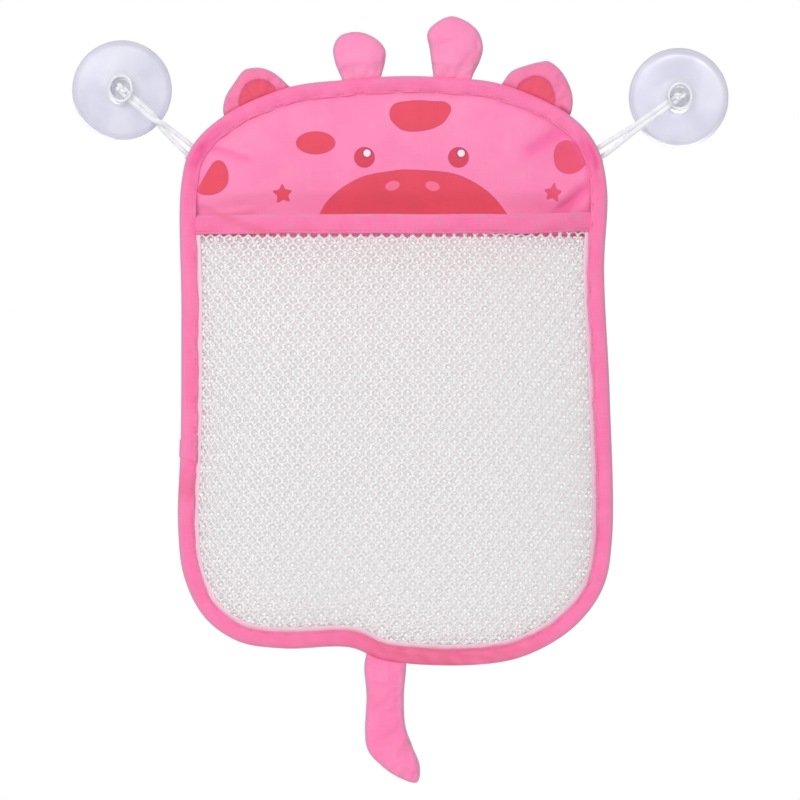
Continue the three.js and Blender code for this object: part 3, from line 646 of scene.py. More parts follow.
RED, DARK_RED, NOSTRIL, HIGHLIGHT = (238, 81, 103), (226, 74, 98), (255, 123, 157), (255, 236, 242)
RING = (176, 70, 112)
FACE_SHAPES = {
    "left_drop": [(-122.1, -59.1), (-118.8, -52.3), (-115.4, -46.4), (-112, -41.6), (-109.1, -40.3),
                  (-106.1, -41.4), (-103.6, -45.6), (-102.8, -50.6), (-103.6, -54.9), (-106.1, -58.2),
                  (-110.4, -60.6), (-115.4, -61.4), (-119.6, -60.7)],
    "right_spot": [(99.5, -28.3), (104.2, -29.6), (107.5, -33), (112.6, -38.4), (112.1, -41.4),
                   (108.4, -46), (104.2, -48.3), (100.8, -48.7), (96.6, -47.7), (93.2, -44.3),
                   (91.9, -38.9), (92.4, -33.8), (94.9, -30)],
    "top_spot": [(11.2, -4.3), (20, -4.9), (26.4, -5.2), (29.8, -7.4), (30.6, -10), (28.6, -14.3),
                 (25.9, -18), (19.8, -21.4), (13, -23), (6.9, -23.4), (1, -22.4), (-3.3, -19.2),
                 (-5.9, -15.9), (-6.6, -12.2), (-5.6, -8.6), (-2.6, -6), (3.4, -4.9)],
    "snout": [(-50.4, -76), (-49.3, -73.8), (-44.7, -65.8), (-38, -59.1), (-31.2, -54.4), (-22.8, -50.2),
              (-14.4, -48.1), (-5.9, -46.9), (-0.2, -46), (8.2, -46), (19.1, -46.6), (29.2, -47.7),
              (36.8, -49.8), (44.4, -53.6), (50.3, -57.4), (55.3, -61.6), (59.5, -66.2), (64.6, -73.4),
              (66, -76), (60, -79), (8, -80), (-45, -79)]}
STARS = {
    "left_star": [(-70.8, -54.7), (-65.1, -58.6), (-66.4, -65), (-73.7, -65.8), (-76.5, -58.9)],
    "right_star": [(92.4, -54), (96.8, -59.1), (94.5, -65.4), (87.7, -63.7), (86.1, -58.1)]}
STAR_SIZE, STAR_WAIST, STAR_BLUNTNESS = 1.14, 0.6, 0.2
CHEEK = dict(centre=(-50.7, -30), size=(11.9, 7))
OUTLINE_STEP = 0.6
EYES = [(-21.5, -38.7), (34.9, -38.7)]
EYE_RADIUS, HIGHLIGHT_RADIUS, RING_WIDTH = 6.3, 2.2, 0.7
HIGHLIGHT_AT = (1.55, 2.5)
NOSTRILS = [((-4.7, -55.7), 14), ((19.3, -55.9), -14)]
NOSTRIL_SIZE = (4.4, 2.8)
FOLDS = [  # x and z at both ends, half width, and height: a crease where it is negative
    ((-110, -34), (-94, -40), 2.4, -1.3), ((-112, -30), (-92, -36), 3.6, 1.2),
    ((-108, -73), (-92, -70.5), 2.6, 1.1), ((-118, -70), (-104, -77), 2.2, -1.0),
    ((117.6, -52.3), (100.8, -67.5), 2.8, -1.7), ((112, -50), (97, -63), 4, 1.4),
    ((80.6, -33), (92.4, -26.2), 4.2, -2.1), ((76, -37), (90, -31), 5, 1.2),
    ((105, -60), (96, -72), 3.4, -1.0), ((113, -66), (104, -74), 2.6, 0.8)]


def ellipse(centre, size, tilt=0):
    turn = np.linspace(0, 2 * np.pi, 48, endpoint=False)
    c, s = math.cos(math.radians(tilt)), math.sin(math.radians(tilt))
    x, z = size[0] * np.cos(turn), size[1] * np.sin(turn)
    return np.column_stack([centre[0] + c * x - s * z, centre[1] + s * x + c * z])


def star(points):
    """A star with blunt points: each tip is a short edge between its two flanks."""
    centre = np.mean(points, 0)
    tips = centre + STAR_SIZE * (np.array(points) - centre)
    waists = centre + STAR_WAIST * ((tips + np.roll(tips, -1, 0)) / 2 - centre)
    near, far = (tips + STAR_BLUNTNESS * (w - tips) for w in (np.roll(waists, 1, 0), waists))
    return np.stack([near, far, waists], 1).reshape(-1, 2)


def furthest_inside(at, outlines):
    return np.max([distance_inside(at, o) for o in outlines], axis=0)


def ridges(x, z, folds):
    """Rounded ridges and creases along short lines, which fade towards their ends."""
    total = np.zeros(len(x))
    for (x0, z0), (x1, z1), width, height in folds:
        long = math.hypot(x1 - x0, z1 - z0)
        ux, uz = (x1 - x0) / long, (z1 - z0) / long
        s = (x - x0) * ux + (z - z0) * uz
        t = (x - x0) * -uz + (z - z0) * ux
        beyond = np.maximum(np.maximum(-s, s - long), 0)
        total += height * np.exp(-((t / width) ** 2) - (beyond / (2 * width)) ** 2)
    return total


# How far the face stands out where the binding ends and in its middle, its small gathers along the
# binding, and its slow waves.
PUFF_BY_BINDING, PUFF_IN_MIDDLE = 2.35, 1.5
GATHER_LENGTH, GATHER_DEPTH, WAVE_DEPTH = 13, 0.28, 0.45
FACE_PITCH, LINING_PITCH = 1.25, 3
head_outline = above(edge_inset(SEAM), HEAD_HEM_Z)
at, triangles = filled(head_outline, FACE_PITCH)
x, z = at.T
inset = distance_inside(at, bag_edge)
nearest = np.array([np.argmin((bag_edge[:, 0] - px) ** 2 + (bag_edge[:, 1] - pz) ** 2) for px, pz in at])
round_edge = nearest * EDGE_STEP
head_top = smoothstep(z, -74, -58)
puff = head_top * (PUFF_BY_BINDING * smoothstep(inset, SEAM, TAPE_WIDTH)
                   + PUFF_IN_MIDDLE * smoothstep(inset, TAPE_WIDTH, 40))
gathers = np.sin(round_edge * 2 * np.pi / GATHER_LENGTH + 2 * ripple(x, z, 40, 3)) * GATHER_DEPTH
gathers = gathers * np.exp(-np.maximum(inset - TAPE_WIDTH, 0) / 7) * smoothstep(inset, 9, 12)
waves = WAVE_DEPTH * ripple(x, z, 34, 8) * smoothstep(inset, TAPE_WIDTH, 22)
face_y = FACE_Y - puff - head_top * (gathers + waves)
face_y = face_y - ridges(x, z, FOLDS) * smoothstep(inset, 9, 14)
face_y = np.minimum(face_y, FACE_Y + 0.1)
red = [smooth_curve(outline, OUTLINE_STEP, closed=True) for outline in FACE_SHAPES.values()]
red += [ellipse(**CHEEK)] + [star(points) for points in STARS.values()]
highlights = [np.add(eye, HIGHLIGHT_AT) for eye in EYES]
face_prints = {label: furthest_inside(at, outlines) for label, outlines in {
    "red_print": red,
    "eye_print": [ellipse(eye, [EYE_RADIUS] * 2) for eye in EYES],
    "ring_print": [ellipse(light, [HIGHLIGHT_RADIUS + RING_WIDTH] * 2) for light in highlights],
    "highlight_print": [ellipse(light, [HIGHLIGHT_RADIUS] * 2) for light in highlights],
    "nostril_print": [ellipse(centre, NOSTRIL_SIZE, tilt) for centre, tilt in NOSTRILS]}.items()}
# Painted shade on the face: in its creases, in a band just inside the binding, and more towards its right
# side.
creased = -0.3 * ridges(x, z, [fold for fold in FOLDS if fold[3] < 0])
by_binding = 0.4 * head_top * np.exp(-((np.maximum(inset - 9.5, 0) / 2.4) ** 2))
dim_face = np.clip(creased + by_binding + 0.22 * smoothstep(x, 55, 100), 0, 0.75)
PINK, DEEP_PINK, FACE_SHADE = (254, 148, 191), (249, 128, 179), (243, 102, 162)
printed_cloth = cloth_material("printed_cloth", PINK, DEEP_PINK, dim=FACE_SHADE, prints=[
    (RED, "red_print", True), (DARK_RED, "eye_print", True), (RING, "ring_print", False),
    (HIGHLIGHT, "highlight_print", False), (NOSTRIL, "nostril_print", False)])
pink_cloth = cloth_material("pink_cloth", (253, 143, 188), (248, 122, 174))


def with_thickness(piece, thickness):
    wall = piece.modifiers.new("thickness", "SOLIDIFY")
    wall.thickness, wall.offset = thickness * MM, 0
    return piece


face = cloth_piece("face_cloth", at, face_y, triangles, face_prints | {"dim": dim_face})
face = with_thickness(face, CLOTH)
face.data.materials.append(printed_cloth)
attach(face, "bag")
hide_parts("head_front_panel")

at, triangles = filled(head_outline, LINING_PITCH)
x, z = at.T
loose = smoothstep(distance_inside(at, bag_edge), 12, 26) * smoothstep(z, HEAD_HEM_Z, HEAD_HEM_Z + 10)
lining_y = LINING_Y + (0.9 + 0.8 * ripple(x, z, 40, 21)) * loose
lining = with_thickness(cloth_piece("lining_cloth", at, lining_y, triangles), CLOTH)
lining.data.materials.append(pink_cloth)
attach(lining, "bag")
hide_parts("head_lining")

# Binding. One woven tape is folded over the raw edges of every layer and sewn through with a row of
# stitches on each side. Its two ends overlap on the bag's left side.
TAPE_SECTION = [  # inwards from the bag's edge, and y: first the tape's outer side, then its inner side
    (10, -10.75), (9.6, -10.98), (8.8, -10.8), (8.1, -11.05), (7, -11.4), (5.5, -11.6), (3.8, -11.6),
    (2.2, -11.3), (1.1, -10.7), (0.35, -9.8), (0, -8.6), (0, -7.6), (0.3, -6.5), (1.1, -5.5), (2.6, -5),
    (4.5, -4.85), (6.5, -4.85), (8, -5), (8.8, -5.2), (9.8, -5), (11.4, -5), (12, -5.2), (11.9, -5.6),
    (8.8, -5.7), (3, -5.65), (1.5, -6.5), (1, -8.2), (1.5, -9.8), (3, -10.6), (8, -10.6), (8.8, -10.45),
    (9.9, -10.4)]
LAP_Z, LAP_LENGTH, LAP_THICKNESS = -213, 14, 0.6
TAPE_STITCH_AT, TAPE_STITCH = 8.8, dict(spacing=2.9, length=2.5, thickness=0.42)
# The tape's colours: its own pink, its colour between the yarns, painted shade and sheen along its edges,
# painted shade, and a painted deeper pink shade.
TAPE_PINK, TAPE_DEEP, TAPE_EDGE_SHADE = (253, 131, 180), (243, 109, 164), (222, 142, 177)
TAPE_SHADE, TAPE_SATURATED_SHADE = (226, 102, 134), (232, 52, 132)
OUTER_SIDE_POINTS, SECTION_MIDDLE_Y = 22, -8.2
RING_EVERY, RING_EVERY_AT_LAP, LAP_REACH = 1.4, 0.3, 16
# Where a stuffed piece comes out from under the tape: from and to which x, at the top (1) or below (-1).
UNDER_COVERS = [(-104, -61, 1), (-33, -12.5, 1), (20.5, 41.5, 1), (56, 98.5, 1), (-19.5, 3, -1)]
HALF_WAY_DOWN = -160
# Places of painted shade, and places of a painted deeper pink shade: x, z, how far each reaches along x
# and z, and its strength.
SHADED_PLACES = [(0, -346, 115, 17, 0.75), (-131, -236, 12, 9, 0.35)]
SATURATED_SHADE_PLACES = [(-122, -38, 9, 15, 0.95), (-106, -23, 9, 6, 0.6), (116, -41, 7, 14, 0.95)]

tape_cloth = cloth_material("tape_cloth", TAPE_PINK, TAPE_DEEP, yarn_width=0.00055,
                            worn=TAPE_EDGE_SHADE, dim=TAPE_SHADE, flushed=TAPE_SATURATED_SHADE)
pink_thread = thread_material("pink_thread", (250, 118, 170))
ring_edge = np.vstack([bag_edge, bag_edge[:1]])
edge_lengths = lengths_along(ring_edge)
lap_at = edge_lengths[int(np.argmin(np.abs(bag_edge[:, 1] - LAP_Z) + (bag_edge[:, 0] > 0) * 1e3))]
places = np.arange(0, edge_lengths[-1] - RING_EVERY / 2, RING_EVERY)
fine_places = np.arange(lap_at - LAP_REACH, lap_at + LAP_REACH, RING_EVERY_AT_LAP)
places = np.sort(np.concatenate([places[np.abs(places - lap_at) > LAP_REACH], fine_places]))
tape_edge = places_along(ring_edge, places)
ring_inward = np.vstack([edge_inward, edge_inward[:1]])
tape_inward = np.column_stack([np.interp(places, edge_lengths, ring_inward[:, k]) for k in (0, 1)])
section = np.array(TAPE_SECTION)
depth_in, section_y = section[:, 0], section[:, 1]
outer_side = np.arange(len(section)) < OUTER_SIDE_POINTS


def tape_wrinkle(s, d, front):
    """Small puckers that start from the stitches and fade towards the fold."""
    near_seam, at_seam = (np.exp(-(((d - TAPE_STITCH_AT) / reach) ** 2)) for reach in (3.4, 1.6))
    fine = 0.16 * np.sin(s * 2 * np.pi / TAPE_STITCH["spacing"] + (0 if front else 1)) * at_seam
    coarse = 0.42 * ripple(s, d * 2, 7, 31 + front) + 0.28 * ripple(s, d, 17, 33 + front)
    return fine + coarse * (0.35 + 0.65 * near_seam)


s_grid, d_grid = np.meshgrid(places, depth_in, indexing="ij")
in_front = section_y < SECTION_MIDDLE_Y
front_swell = tape_wrinkle(s_grid, d_grid, True)
back_swell = tape_wrinkle(s_grid, d_grid, False)
swell = np.where(in_front, -front_swell, back_swell) * outer_side * smoothstep(d_grid, 0.2, 2)
lap_low, lap_high = lap_at - LAP_LENGTH / 2, lap_at + LAP_LENGTH / 2
slant = 0.3 * (d_grid - 5)
lapped = smoothstep(s_grid + slant, lap_low, lap_low + 0.5)
lapped *= 1 - smoothstep(s_grid - slant, lap_high - 0.5, lap_high)
lapped *= outer_side * LAP_THICKNESS
side_wander = 0.28 * ripple(s_grid, 0 * s_grid, 12, 41) * smoothstep(d_grid, 7, 10)
d_final = d_grid + side_wander - lapped * (1 - smoothstep(d_grid, 0.5, 3))
flat_of_fold = smoothstep(np.abs(section_y - SECTION_MIDDLE_Y), 0.5, 2)
y_final = section_y[None] + swell + np.where(in_front, -1, 1) * lapped * flat_of_fold
rings = np.stack([tape_edge[:, None, 0] + d_final * tape_inward[:, None, 0], y_final,
                  tape_edge[:, None, 1] + d_final * tape_inward[:, None, 1]], -1)
around = lengths_along(np.vstack([section, section[:1]]))
edge_x, edge_z = tape_edge.T[:, :, None]
covered = sum(smoothstep(edge_x, low, low + 2) * (1 - smoothstep(edge_x, high - 2, high))
              * (end * (edge_z - HALF_WAY_DOWN) > 0) for low, high, end in UNDER_COVERS)
# Painted shade and sheen along the tape's outer fold, except where a stuffed piece comes out from under
# it, and a line of painted shade at its inner edge beside the net, with random patches.
on_fold = 0.85 * np.exp(-((d_grid / 2.3) ** 2)) * (1 - covered)
on_cut_edge = 0.85 * np.exp(-(((d_grid - 10.3) / 0.9) ** 2)) * smoothstep(-edge_z, 84, 92)
to_edge = np.maximum(on_fold, on_cut_edge)
tape_worn = np.clip(to_edge + 0.2 * ripple(s_grid, 2 * d_grid, 9, 36) * (1 - to_edge), 0, 1)
# Painted shade at the bottom and on the left side, and a painted deeper pink shade on the front near the
# shoulders.
tape_dim, tape_flushed = (
    sum(share * np.exp(-(((edge_x - x) / reach_x) ** 2 + ((edge_z - z) / reach_z) ** 2))
        for x, z, reach_x, reach_z, share in places_of_shade) * (1 + 0.4 * ripple(s_grid, 2 * d_grid, 6, 37))
    for places_of_shade in (SHADED_PLACES, SATURATED_SHADE_PLACES))
tape_flushed = tape_flushed * np.exp(-(((d_grid - 5.4) / 3) ** 2)) * in_front
tape_shading = {"worn": tape_worn, "dim": tape_dim, "flushed": tape_flushed}
tape = swept("binding_tape", rings[:, ::-1], np.append(places, edge_lengths[-1]), around[::-1],
             joined=True,
             attributes={label: np.clip(shading, 0, 1)[:, ::-1] for label, shading in tape_shading.items()})
tape.data.materials.append(tape_cloth)
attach(tape, "bag")
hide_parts("edge_binding")

seam = edge_inset(TAPE_STITCH_AT)[::3]
for label, seam_y, out in (("front", -10.85, -1), ("back", -5.1, 1)):
    line = np.column_stack([seam[:, 0], np.full(len(seam), seam_y), seam[:, 1]])
    row = stitches(f"binding_{label}_stitches", line, (0, out, 0), pink_thread, closed=True, seed=9,
                   **TAPE_STITCH)
    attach(row, "bag")

# Nets. Both are warp-knitted polyester with round holes in staggered rows. The back one is finer and
# hangs flat from the head's hem, and the pocket's one bulges forward and is a little slack.
POCKET_MESH = dict(pitch=6.2, row=4.0, hole=1.91, corners=12, crown=0.34, uneven=0.16)
BACK_MESH = dict(pitch=3.6, row=2.35, hole=0.88, corners=6, crown=0.16, uneven=0.08)
NET_WHITE, NET_SHADED, NET_PINK_BOUNCE = (255, 248, 249), (246, 234, 237), (253, 222, 233)
BACK_NET_Y, NET_TOP_Z = -6.95, -83
POCKET_Y, BAND_FOOT_Z, NET_STRIP_TOP = -9.35, -84.9, -74.5
MOUTH_BOW, POCKET_FULLNESS = 24, 0.2
POCKET_WAVE, BACK_WAVE = 0.8, 1.6
LEAN_AT_RIGHT = 0.0005
CUT_WIDTH, CUT_HEIGHT = 376, 364  # the piece of net that each pocket layer is cut from
POCKET_PITCH, BACK_PITCH = 2.5, 3  # the guide cloths' triangles
BACK_TURN, BACK_SHIFT = 2.5, (1.2, 1.7)  # how far the back net lies out of line with the pocket's
NET_HEM, HEM_THICKNESS = (-2, 2.6), 0.3  # from and to how far inside the tape's inner edge

knit, knit_in, knit_out = group_tree(
    "knitted_net", "GeometryNodeTree",
    {"Geometry": "Geometry", "Cell": "Object", "Pitch": ("Float", 0.0062), "Row": ("Float", 0.004),
     "Columns": ("Int", 61), "Rows": ("Int", 91), "Turn": ("Float", 0.0), "Shift": "Vector",
     "Crown": ("Float", 0.0003), "Unevenness": ("Float", 0.0002), "Material": "Material"},
    {"Geometry": "Geometry"})


def attribute(name, kind):
    return add(knit, "GeometryNodeInputNamedAttribute", {"Name": name}, data_type=kind)[0]


def at_uv(value, where):
    """What the guide cloth has at a place of its own UV, and whether the cloth reaches that place."""
    return add(knit, "GeometryNodeSampleUVSurface", {
        "Mesh": knit_in["Geometry"], "Value": value, "Sample UV": where,
        "UV Map": attribute("cloth", "FLOAT_VECTOR")}, data_type="FLOAT_VECTOR")


def length_of(count, each):
    return maths(knit, "MULTIPLY", maths(knit, "SUBTRACT", knit_in[count], 1.0), knit_in[each])


here = add(knit, "GeometryNodeInputPosition")[0]
lattice = add(knit, "GeometryNodeMeshGrid", {
    "Size X": length_of("Columns", "Pitch"), "Size Y": length_of("Rows", "Row"),
    "Vertices X": knit_in["Columns"], "Vertices Y": knit_in["Rows"]})[0]
every_other = maths(knit, "FRACT", maths(knit, "ADD", 0.25, maths(knit, "DIVIDE", add(
    knit, "ShaderNodeSeparateXYZ", {0: here})[1], maths(knit, "MULTIPLY", knit_in["Row"], 2.0))))
staggered = add(knit, "GeometryNodeSetPosition", {"Geometry": lattice, "Offset": add(
    knit, "ShaderNodeCombineXYZ", {0: maths(knit, "MULTIPLY", knit_in["Pitch"], maths(
        knit, "MULTIPLY", 0.5, maths(knit, "GREATER_THAN", every_other, 0.5)))})[0]})[0]
cells = add(knit, "GeometryNodeInstanceOnPoints", {
    "Points": staggered,
    "Instance": add(knit, "GeometryNodeObjectInfo", {"Object": knit_in["Cell"]})["Geometry"]})[0]
cells = add(knit, "GeometryNodeRealizeInstances", {0: cells})[0]
cells = add(knit, "GeometryNodeTransform", {
    "Geometry": cells, "Translation": knit_in["Shift"],
    "Rotation": add(knit, "ShaderNodeCombineXYZ", {2: knit_in["Turn"]})[0]})[0]
cells = add(knit, "GeometryNodeMergeByDistance", {0: cells, "Distance": 0.00008})[0]
cells = add(knit, "GeometryNodeStoreNamedAttribute", {
    "Geometry": cells, "Name": "flat", "Value": here}, data_type="FLOAT_VECTOR", domain="POINT")[0]
jolt = add(knit, "ShaderNodeVectorMath", {0: add(
    knit, "ShaderNodeTexNoise", {"Vector": here, "Scale": 140.0, "Detail": 1.0})[1], 1: (0.5, 0.5, 0.5)},
    operation="SUBTRACT")[0]
jolt = add(knit, "ShaderNodeVectorMath", {0: jolt, "Scale": maths(
    knit, "MULTIPLY", knit_in["Unevenness"], 4.0)}, operation="SCALE")[0]
there = add(knit, "ShaderNodeVectorMath", {0: here, 1: jolt}, operation="ADD")[0]
cells = add(knit, "GeometryNodeSetPosition", {"Geometry": cells, "Position": there})[0]
cells = add(knit, "GeometryNodeDeleteGeometry", {
    0: cells, 1: maths(knit, "SUBTRACT", 1.0, at_uv(here, here)["Is Valid"])})[0]
crown = maths(knit, "MULTIPLY", knit_in["Crown"], attribute("crown", "FLOAT"))
outwards = add(knit, "ShaderNodeVectorMath", {
    0: at_uv(add(knit, "GeometryNodeInputNormal")[0], here)[0], "Scale": crown}, operation="SCALE")[0]
surface = at_uv(here, here)[0]
layers = []
for operation in ("ADD", "SUBTRACT"):
    layer = add(knit, "GeometryNodeSetPosition", {"Geometry": cells, "Position": add(
        knit, "ShaderNodeVectorMath", {0: surface, 1: outwards}, operation=operation)[0]})[0]
    layers.append(add(knit, "GeometryNodeFlipFaces", {0: layer})[0] if operation == "SUBTRACT" else layer)
both = knit.nodes.new("GeometryNodeJoinGeometry")
for layer in layers:
    knit.links.new(layer, both.inputs[0])
threads = add(knit, "GeometryNodeMergeByDistance", {0: both.outputs[0], "Distance": 0.00004})[0]
threads = add(knit, "GeometryNodeSetShadeSmooth", {0: threads})[0]
threads = add(knit, "GeometryNodeRealizeInstances", {0: threads})[0]
knit.links.new(add(knit, "GeometryNodeSetMaterial", {
    0: threads, "Material": knit_in["Material"]})[0], knit_out["Geometry"])


def net_cell(pitch, row, hole, corners):
    """One hole and half the threads round it: a ring of faces between the hole and a six-sided border."""
    a, b = pitch / 2, row
    tip, shoulder = (a * a + b * b) / (2 * b), (b * b - a * a) / (2 * b)
    border = np.array([(a, shoulder), (0, tip), (-a, shoulder),
                       (-a, -shoulder), (0, -tip), (a, -shoulder)])
    if corners == 12:
        border = np.stack([(border + np.roll(border, 1, 0)) / 2, border], 1).reshape(-1, 2)
    turn = np.arctan2(border[:, 1], border[:, 0])
    rim = hole * np.column_stack([np.cos(turn), np.sin(turn)])
    points = np.column_stack([np.vstack([rim, border]), np.zeros(2 * corners)])
    faces = [(i, corners + i, corners + (i + 1) % corners, (i + 1) % corners) for i in range(corners)]
    cell = new_piece("net_cell", points, faces, attributes={"crown": [0.0] * corners + [1.0] * corners})
    cell.hide_render = True
    return cell


def net_piece(name, guide, turn, shift, thread, pitch, row, hole, corners, crown, uneven):
    """A net that follows a guide cloth, turned and shifted by so much before it is laid on it."""
    cell = net_cell(pitch, row, hole, corners)
    net = grown(name, guide, knit, {
        "Cell": cell, "Pitch": pitch * MM, "Row": row * MM, "Turn": math.radians(turn),
        "Columns": round(CUT_WIDTH / pitch), "Rows": round(CUT_HEIGHT / row),
        "Shift": (shift[0] * MM, shift[1] * MM, 0), "Crown": crown * MM, "Unevenness": uneven * MM,
        "Material": thread})
    bpy.data.objects.remove(cell)
    net.data.materials.clear()
    net.data.materials.append(thread)
    return net


def net_material(name, pale, shaded, pink_bounce):
    """Knitted filament yarn: fine loops on the threads, painted paler on their crowns than nearer the
    holes, and painted pink just below the band for the pink light that the band throws on them."""
    made, tree, shader = new_material(
        name, Roughness=0.6, Sheen_Weight=0.2, Sheen_Roughness=0.5, Subsurface_Weight=1.0,
        Subsurface_Radius=(1.0, 0.97, 0.98), Subsurface_Scale=0.0014)
    flat_place = add(tree, "ShaderNodeAttribute", attribute_name="flat")["Vector"]
    loops = add(tree, "ShaderNodeTexWave", {
        "Vector": flat_place, "Scale": 420.0, "Distortion": 3.0, "Detail": 1.0, "Detail Scale": 2.0},
        wave_type="BANDS", bands_direction="DIAGONAL")["Fac"]
    fibre = add(tree, "ShaderNodeTexNoise", {"Vector": flat_place, "Scale": 5200.0, "Detail": 2.0})[0]
    on_crown = add(tree, "ShaderNodeAttribute", attribute_name="crown")["Fac"]
    height = maths(tree, "ADD", maths(tree, "MULTIPLY", loops, 0.6), maths(tree, "MULTIPLY", fibre, 0.4))
    share = maths(tree, "ADD", maths(tree, "MULTIPLY", on_crown, 0.6),
                  maths(tree, "MULTIPLY", height, 0.4))
    clean = mixed(tree, step_up(tree, share, 0.1, 0.7), srgb(*shaded), srgb(*pale))
    up = add(tree, "ShaderNodeSeparateXYZ", {0: add(tree, "ShaderNodeTexCoord")["Object"]})[2]
    # Painted pink light from the band, on the threads just below it.
    near_band = step_up(tree, up, -0.1, -0.084, 0.0, 0.75)
    tree.links.new(mixed(tree, near_band, clean, srgb(*pink_bounce)), shader["Base Color"])
    bumpy(tree, shader, height, 0.5, 0.12)
    return made


net_yarn = net_material("net_yarn", NET_WHITE, NET_SHADED, NET_PINK_BOUNCE)
hem_cloth = cloth_material("net_hem_cloth", (253, 216, 231), (246, 196, 217), yarn_width=0.0005)

# The pocket's depth and the lengths of its cloth, on a fine grid in x and z.
TABLE_STEP = 1.0
grid_x, grid_z = np.arange(-140, 140, TABLE_STEP), np.arange(-350, -70, TABLE_STEP)
gx, gz = np.meshgrid(grid_x, grid_z, indexing="ij")
rim = below(edge_inset(TAPE_WIDTH + 0.3), BAND_FOOT_Z - 0.3)
mouth_centre = np.array([(rim[-1, 0] + rim[-2, 0]) / 2, BAND_FOOT_Z - 0.3])
from_centre = rim - mouth_centre
rim_angle = np.mod(np.arctan2(from_centre[:, 1], from_centre[:, 0]) + np.pi / 2, 2 * np.pi) - np.pi / 2
order = np.argsort(rim_angle)
rim_angle, rim_radius = rim_angle[order], np.linalg.norm(from_centre, axis=1)[order]
table_points = np.column_stack([gx.ravel(), gz.ravel()])


def pocket_y(x, z):
    """Depth of the pocket's net: fullest in the middle, with the mouth standing open above it."""
    z = np.minimum(z, mouth_centre[1])
    dx, dz = x - mouth_centre[0], z - mouth_centre[1]
    angle = np.mod(np.arctan2(dz, dx) + np.pi / 2, 2 * np.pi) - np.pi / 2
    angle = np.where(angle < -np.pi / 2 + 1e-9, np.pi, angle)
    share = np.hypot(dx, dz) / np.interp(angle, rim_angle, rim_radius, period=2 * np.pi)
    bow = MOUTH_BOW + POCKET_FULLNESS * (mouth_centre[1] - z)
    return POCKET_Y - bow * (1 - np.minimum(share, 1) ** 3)


def at_table(table, x, z):
    """A table's values between its grid's points."""
    i, j = (x - grid_x[0]) / TABLE_STEP, (z - grid_z[0]) / TABLE_STEP
    i0, j0 = np.clip(i.astype(int), 0, len(grid_x) - 2), np.clip(j.astype(int), 0, len(grid_z) - 2)
    fi, fj = i - i0, j - j0
    return (table[i0, j0] * (1 - fi) * (1 - fj) + table[i0 + 1, j0] * fi * (1 - fj)
            + table[i0, j0 + 1] * (1 - fi) * fj + table[i0 + 1, j0 + 1] * fi * fj)


def net_guide(name, outline, depth_table, pitch):
    """The surface that a net follows, whose UV is the net's own lengths side to side and up and down."""
    wide = np.sqrt(1 + np.gradient(depth_table, TABLE_STEP, axis=0) ** 2)
    tall = np.sqrt(1 + np.gradient(depth_table, TABLE_STEP, axis=1) ** 2)
    u = np.cumsum(wide, axis=0) * TABLE_STEP
    u -= u[int(np.argmin(np.abs(grid_x - mouth_centre[0])))][None]
    v = np.cumsum(tall, axis=1) * TABLE_STEP
    v -= v[:, int(np.argmin(np.abs(grid_z + 200)))][:, None]
    v += LEAN_AT_RIGHT * np.maximum(gx, 0) ** 2
    at, triangles = filled(outline, pitch)
    x, z = at.T
    guide = cloth_piece(name, at, at_table(depth_table, x, z), triangles)
    corner = np.array([loop.vertex_index for loop in guide.data.loops])
    uv = np.column_stack([at_table(u, x, z), at_table(v, x, z)])[corner]
    guide.data.uv_layers["cloth"].uv.foreach_set("vector", (uv.astype(np.float32) * MM).ravel())
    return guide


inside_rim = smoothstep(distance_inside(table_points, rim).reshape(gx.shape), 0, 30)
pocket_table = pocket_y(gx, gz) + POCKET_WAVE * ripple(gx, gz, 46, 51) * inside_rim
pocket_outline = below(edge_inset(SEAM - 0.6), NET_STRIP_TOP)
pocket_guide = net_guide("pocket_guide", pocket_outline, pocket_table, POCKET_PITCH)
pocket_area = sum(p.area for p in pocket_guide.data.polygons)
pocket = net_piece("pocket_net_threads", pocket_guide, 0, (0, 0), net_yarn, **POCKET_MESH)

back_outline = below(edge_inset(SEAM - 0.6), NET_TOP_Z)
inside_back = smoothstep(distance_inside(table_points, back_outline).reshape(gx.shape), 8, 40)
back_table = BACK_NET_Y + BACK_WAVE * ripple(gx, gz, 60, 61) * inside_back
back_guide = net_guide("back_guide", back_outline, back_table, BACK_PITCH)
back_area = sum(p.area for p in back_guide.data.polygons)
back = net_piece("back_net_threads", back_guide, BACK_TURN, BACK_SHIFT, net_yarn, **BACK_MESH)

# The hem is a narrow strip of the pocket net's cut edge, doubled, that shows beside the binding.
hem_edges = [edge_inset(TAPE_WIDTH + k) for k in np.linspace(*NET_HEM, 6)]
start = int(np.argmax(bag_edge[:, 1]))
along_hem = np.roll(np.arange(len(bag_edge)), -start)
along_hem = along_hem[hem_edges[0][along_hem, 1] < BAND_FOOT_Z + 5]
hem_x, hem_z = (np.stack([edge[along_hem, k] for edge in hem_edges], 1) for k in (0, 1))
hem_lengths = lengths_along(bag_edge[along_hem])
hem_wave = 0.12 * ripple(hem_lengths[:, None] + 0 * hem_x, 9 * hem_x, 5, 55)
hem_y = at_table(pocket_table, hem_x, hem_z) - 0.42 - hem_wave
hem = with_thickness(swept("pocket_net_hem", np.stack([hem_x, hem_y, hem_z], -1), hem_lengths,
                           np.linspace(*NET_HEM, 6), open_round=True), HEM_THICKNESS)
hem.data.materials.append(hem_cloth)
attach(hem, "bag")
for net, node, outline, cloth_area, held, on_it in (
        (pocket, "pocket_net", pocket_outline, pocket_area, "gathered", [hem]),
        (back, "back_net", back_outline, back_area, "stretched", [])):
    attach(net, "bag")
    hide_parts(node)
    size = np.ptp(outline, axis=0) * MM
    flat_area = min(cloth_area, float(size[0] * size[1]))
    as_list(on_it)

